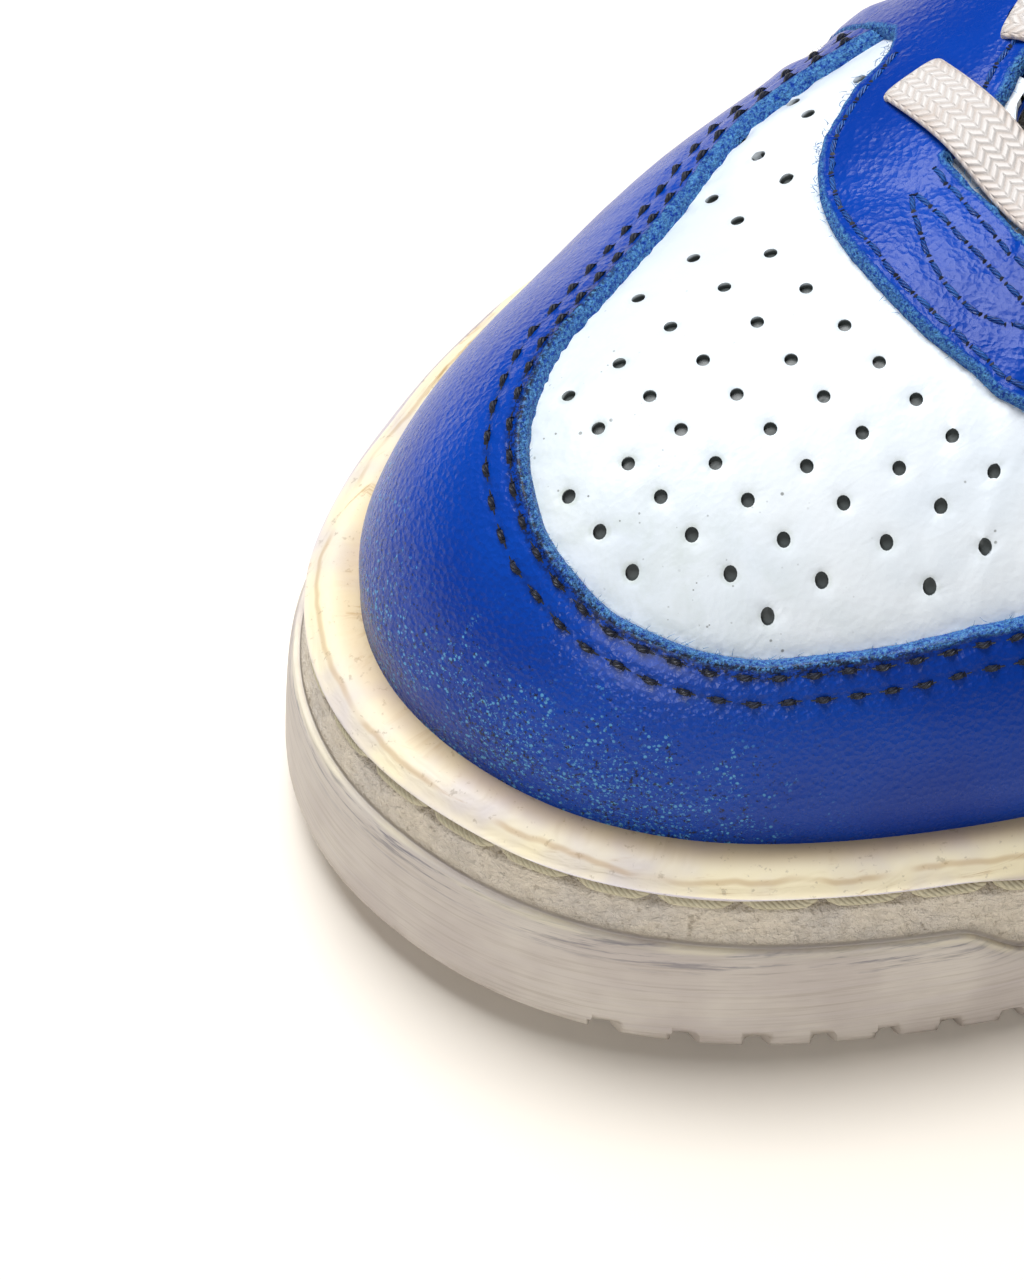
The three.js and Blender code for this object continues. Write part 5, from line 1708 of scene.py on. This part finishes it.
@dataclass
class Laces:
    """Flat cotton laces, from eyelet to eyelet over the saddle."""

    panels: Panels
    finishes: Finishes
    width: float = 7.8
    thickness: float = 1.5
    shoulder: float = 0.24
    steps: int = 64
    sides: int = 20

    def _ribbon(self, mesher: Mesher, from_: Array, to: Array, bow: float, lift: float, start_u: float) -> None:
        """Adds one flat ribbon that dives into an eyelet at each end.

        Args:
            mesher: where it goes.
            from_: the eyelet at its start, as side, share and rise.
            to: the eyelet at its end.
            bow: how far its middle rises over the straight way.
            lift: how much higher it lies than the saddle's face, where it crosses another.
            start_u: where its weave starts, in millimetres.
        """
        last = self.panels.last
        a, b_ = last.surface(*from_), last.surface(*to)
        na, nb = last.normal(*from_), last.normal(*to)
        over = Thickness.OVERLAY.value + self.thickness / 2 - 0.1 + lift
        way = unit(b_ - a)
        places = [a - na * 2 + way * 0.6, a + na * (over - 0.9) - way * 0.9, a + na * over + way * 0.7]
        for share in (self.shoulder, 0.5, 1 - self.shoulder):
            up = unit(mix(na, nb, share) + (0, 0, 0.8))
            spot = mix(a, b_, share)
            hit = last.solid_tree.ray_cast(Vector(spot + up * 60), Vector(-up))
            chord = mix(a + na * over, b_ + nb * over, share)
            if share == 0.5:
                places.append(chord + up * bow)
            else:
                places.append((np.array(hit[0]) if hit[0] else spot) + up * (over + 0.2))
        places += [b_ + nb * over - way * 0.7, b_ + nb * (over - 0.9) + way * 0.9, b_ - nb * 2 - way * 0.6]
        line = spline(places, 24)
        far = lengths(line)
        even = np.linspace(0, 1, self.steps)
        at = far[-1] * mix(even, 0.5 - 0.5 * np.cos(even * np.pi), 0.75)
        path = points_at(at, far, line)
        along = unit(np.gradient(path, axis=0))
        normal = unit(mix(na, nb, (at / far[-1])[:, None]) + (0, 0, 0.25))
        wide = unit(np.cross(way, normal))
        flat_up = unit(np.cross(wide, along))
        end = np.minimum(at, far[-1] - at)
        narrow = 0.55 + 0.45 * smooth(end / 3.4)
        thick = 1.2 - 0.2 * smooth(end / 5)
        c, s = np.cos(circle(self.sides)), np.sin(circle(self.sides))
        cx, sy = np.sign(c) * np.abs(c) ** 0.55, np.sign(s) * np.abs(s) ** 0.8
        ring = (wide[:, None] * (cx[None, :, None] * (narrow * self.width / 2)[:, None, None])
                + flat_up[:, None] * (sy[None, :, None] * (thick * self.thickness / 2)[:, None, None]))
        mesher.sheet(path[:, None] + ring, True, True, u=(at + start_u)[:, None], v=cx * self.width / 2,
                     hem=self.width / 2 * (1 - np.abs(cx)))

    def build(self) -> list[Piece]:
        """Builds the first bar and the crossings behind it."""
        eyelets = self.panels.eyelets()
        bar, crossings = Mesher(), Mesher()
        self._ribbon(bar, eyelets[1], eyelets[0], 0.6, 0.0, 0)
        for k in range(2, len(eyelets) - 2, 2):
            self._ribbon(crossings, eyelets[k + 1], eyelets[k + 2], 1.2, 0.0, 11 * k)
            self._ribbon(crossings, eyelets[k], eyelets[k + 3], 3.2, 0.35, 23 * k)
        made = []
        for mesher, name, node in ((bar, "first_lace", "lace_bar"), (crossings, "crossed_laces", "lace_crossings")):
            made.append(dress(mesher.build(name, [self.finishes.cotton], 60), node))
        return made


@dataclass
class Insole:
    """The fabric-covered insole on the footbed."""

    last: Last
    finishes: Finishes
    thickness: float = 3.5

    def build(self) -> Piece:
        """Builds the insole, dished a little under the heel and the ball."""
        last, n, wide, mesher = self.last, 150, 34, Mesher()
        inset = -last.leather - last.fit
        edges = {side: last.place(side, np.linspace(0, 1, n), 0, inset) for side in (1, -1)}
        across = np.linspace(0, 1, wide)[None, :, None]
        sheet = mix(edges[-1][:, None], edges[1][:, None], across)
        x, y = sheet[..., 0], sheet[..., 1]
        ball = np.exp(-(((x - 62) / 34) ** 2 + (y / 30) ** 2)) * 0.7
        heel = np.exp(-(((x + 108) / 26) ** 2 + (y / 22) ** 2)) * 0.9
        rim = 0.5 * np.abs(across[..., 0] * 2 - 1) ** 6
        hem = np.minimum(across[..., 0], 1 - across[..., 0]) * 60 * np.ones_like(x)
        for rise, flip in ((self.thickness - ball - heel + rim, True), (0.1, False)):
            layer = np.stack([x, y, last.footbed_height(x) + rise], axis=-1)
            mesher.sheet(layer, flip=flip, u=x, v=y, hem=hem)
        for column, turn in ((0, 1), (wide - 1, -1)):
            i = np.arange(n - 1) * wide + column
            mesher.close(np.stack([i, i + wide, i + wide + n * wide, i + n * wide], axis=1)[:, ::turn])
        return dress(mesher.build("insole_sheet", [self.finishes.insole], 50), "insole")


@dataclass
class SidewallStitches:
    """The long cream stitches in the sole's channel."""

    sole: CupSole
    finishes: Finishes
    radius: float = 0.64

    def build(self) -> Piece:
        """Sews the row all the way round."""
        last, sole, mesher = self.sole.last, self.sole, Mesher()
        side, share = lap(1400)
        point, outward = last.outline(side, share)
        z = last.tread_height(point[:, 0]) + last.wall_heights(share)[1] + 0.35 * sole.channel_width
        far = lengths(point)
        t, turn = np.linspace(-0.5, 0.5, 11), circle(8)
        out = (-sole.band_inset - sole.channel_depth * (0.22 + 1.1 * (2 * np.abs(t)) ** 6))[:, None]
        size = self.radius * (0.7 + 0.3 * np.sqrt(np.clip(1 - (2 * t) ** 6, 0, 1)))
        for k in range(int(far[-1] // sole.stitch_pitch)):
            at = (k + 0.5) * sole.stitch_pitch + t * sole.stitch_pitch * 0.98
            height = np.interp(at, far, z) + 0.12 * math.sin(k * 1.7)
            centre = np.column_stack([points_at(at, far, point) + points_at(at, far, outward) * out, height])
            way = unit(np.gradient(centre, axis=0))
            wide = unit(np.cross(way, (0, 0, 1)))
            ring = rings(centre, wide, np.cross(wide, way) * 1.05, turn, size)
            mesher.sheet(ring, around=True, u=at[:, None], v=turn)
        piece = mesher.build("sidewall_stitches", [self.finishes.cream])
        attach(piece, "root")
        return piece


@dataclass
class Studio:
    """The floor, the lights and the camera of the photograph."""

    azimuth: float = 143.96
    elevation: float = 54.74
    distance: float = 0.7
    target: tuple[float, float, float] = (0.12487, -0.00795, 0.03)
    focal_pixels: float = 6458.07
    image_height: int = 1280

    def camera(self) -> None:
        """Places the camera at the photograph's angle, with no shift."""
        a, e = math.radians(self.azimuth), math.radians(self.elevation)
        back = Vector((math.sin(a) * math.cos(e), -math.cos(a) * math.cos(e), math.sin(e)))
        data = bpy.data.cameras.new("camera")
        data.sensor_width = 36
        data.lens = self.focal_pixels / self.image_height * 36
        bpy.context.scene.camera = self._aim(data, Vector(self.target) + back * self.distance, -back)

    def _aim(self, data: Any, place: Vector, way: Vector) -> Piece:
        """Adds a camera or a lamp at a place, looking one way."""
        thing = bpy.data.objects.new(data.name, data)
        bpy.context.collection.objects.link(thing)
        thing.location = place
        thing.rotation_mode = "QUATERNION"
        thing.rotation_quaternion = way.to_track_quat("-Z", "Y")
        return thing

    def _light(self, name: str, place: Sequence[float], size: float, power: float, tint: Colour) -> None:
        """Adds one square soft light that faces the toe."""
        data = bpy.data.lights.new(name, "AREA")
        data.size, data.energy, data.color = size, power, tint
        self._aim(data, Vector(place), Vector((0.05, 0, 0.04)) - Vector(place))

    def build(self) -> None:
        """Lays the floor and sets the lights."""
        bpy.ops.object.select_all(action="DESELECT")
        bpy.ops.mesh.primitive_grid_add(x_subdivisions=12, y_subdivisions=12, size=6, location=(0, 0, 0))
        floor = bpy.context.object
        floor.name = "floor"
        b = Board("studio_floor")
        b.finish(Base_Color=b.tint(b.noise(b.place(), 300, 2), srgb(248, 241, 230), srgb(250, 244, 236)),
                 Roughness=0.9, Specular_IOR_Level=0.1)
        floor.data.materials.append(b.material)
        world = bpy.data.worlds.new("studio")
        world.use_nodes = True
        backdrop = world.node_tree.nodes["Background"]
        backdrop.inputs[0].default_value = (1, 0.93, 0.85, 1)
        backdrop.inputs[1].default_value = 0.12
        bpy.context.scene.world = world
        bpy.context.scene.view_settings.view_transform = "Standard"
        self._light("overhead", (0.05, -0.36, 0.96), 0.6, 12.8, (0.98, 0.99, 1))
        self._light("toe_light", (0.687, 0.54, 0.53), 0.2, 2.2, (1, 0.99, 0.97))


def main() -> None:
    """Dresses the sneaker, piece by piece."""
    logging.basicConfig(level=logging.INFO, format="%(message)s")
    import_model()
    studio = Studio()
    studio.camera()
    last = Last()
    creases = Creases(last)
    finishes = Finishes()
    sole = CupSole(last, finishes)
    upper = Upper(last, creases, finishes)
    panels = Panels(upper)
    steps: list[Callable[[], Any]] = [
        sole.build, SidewallStitches(sole, finishes).build, upper.body, panels.toe_box, panels.mudguard,
        panels.saddle, panels.counter, panels.fray, Tongue(last, finishes).build, Laces(panels, finishes).build,
        Insole(last, finishes).build,
    ]
    for step in steps:
        made = step()
        for piece in made if isinstance(made, list) else [made]:
            LOG.info("%s: %d faces", piece.name, len(piece.data.polygons))
    studio.build()


if __name__ == "__main__":
    main()
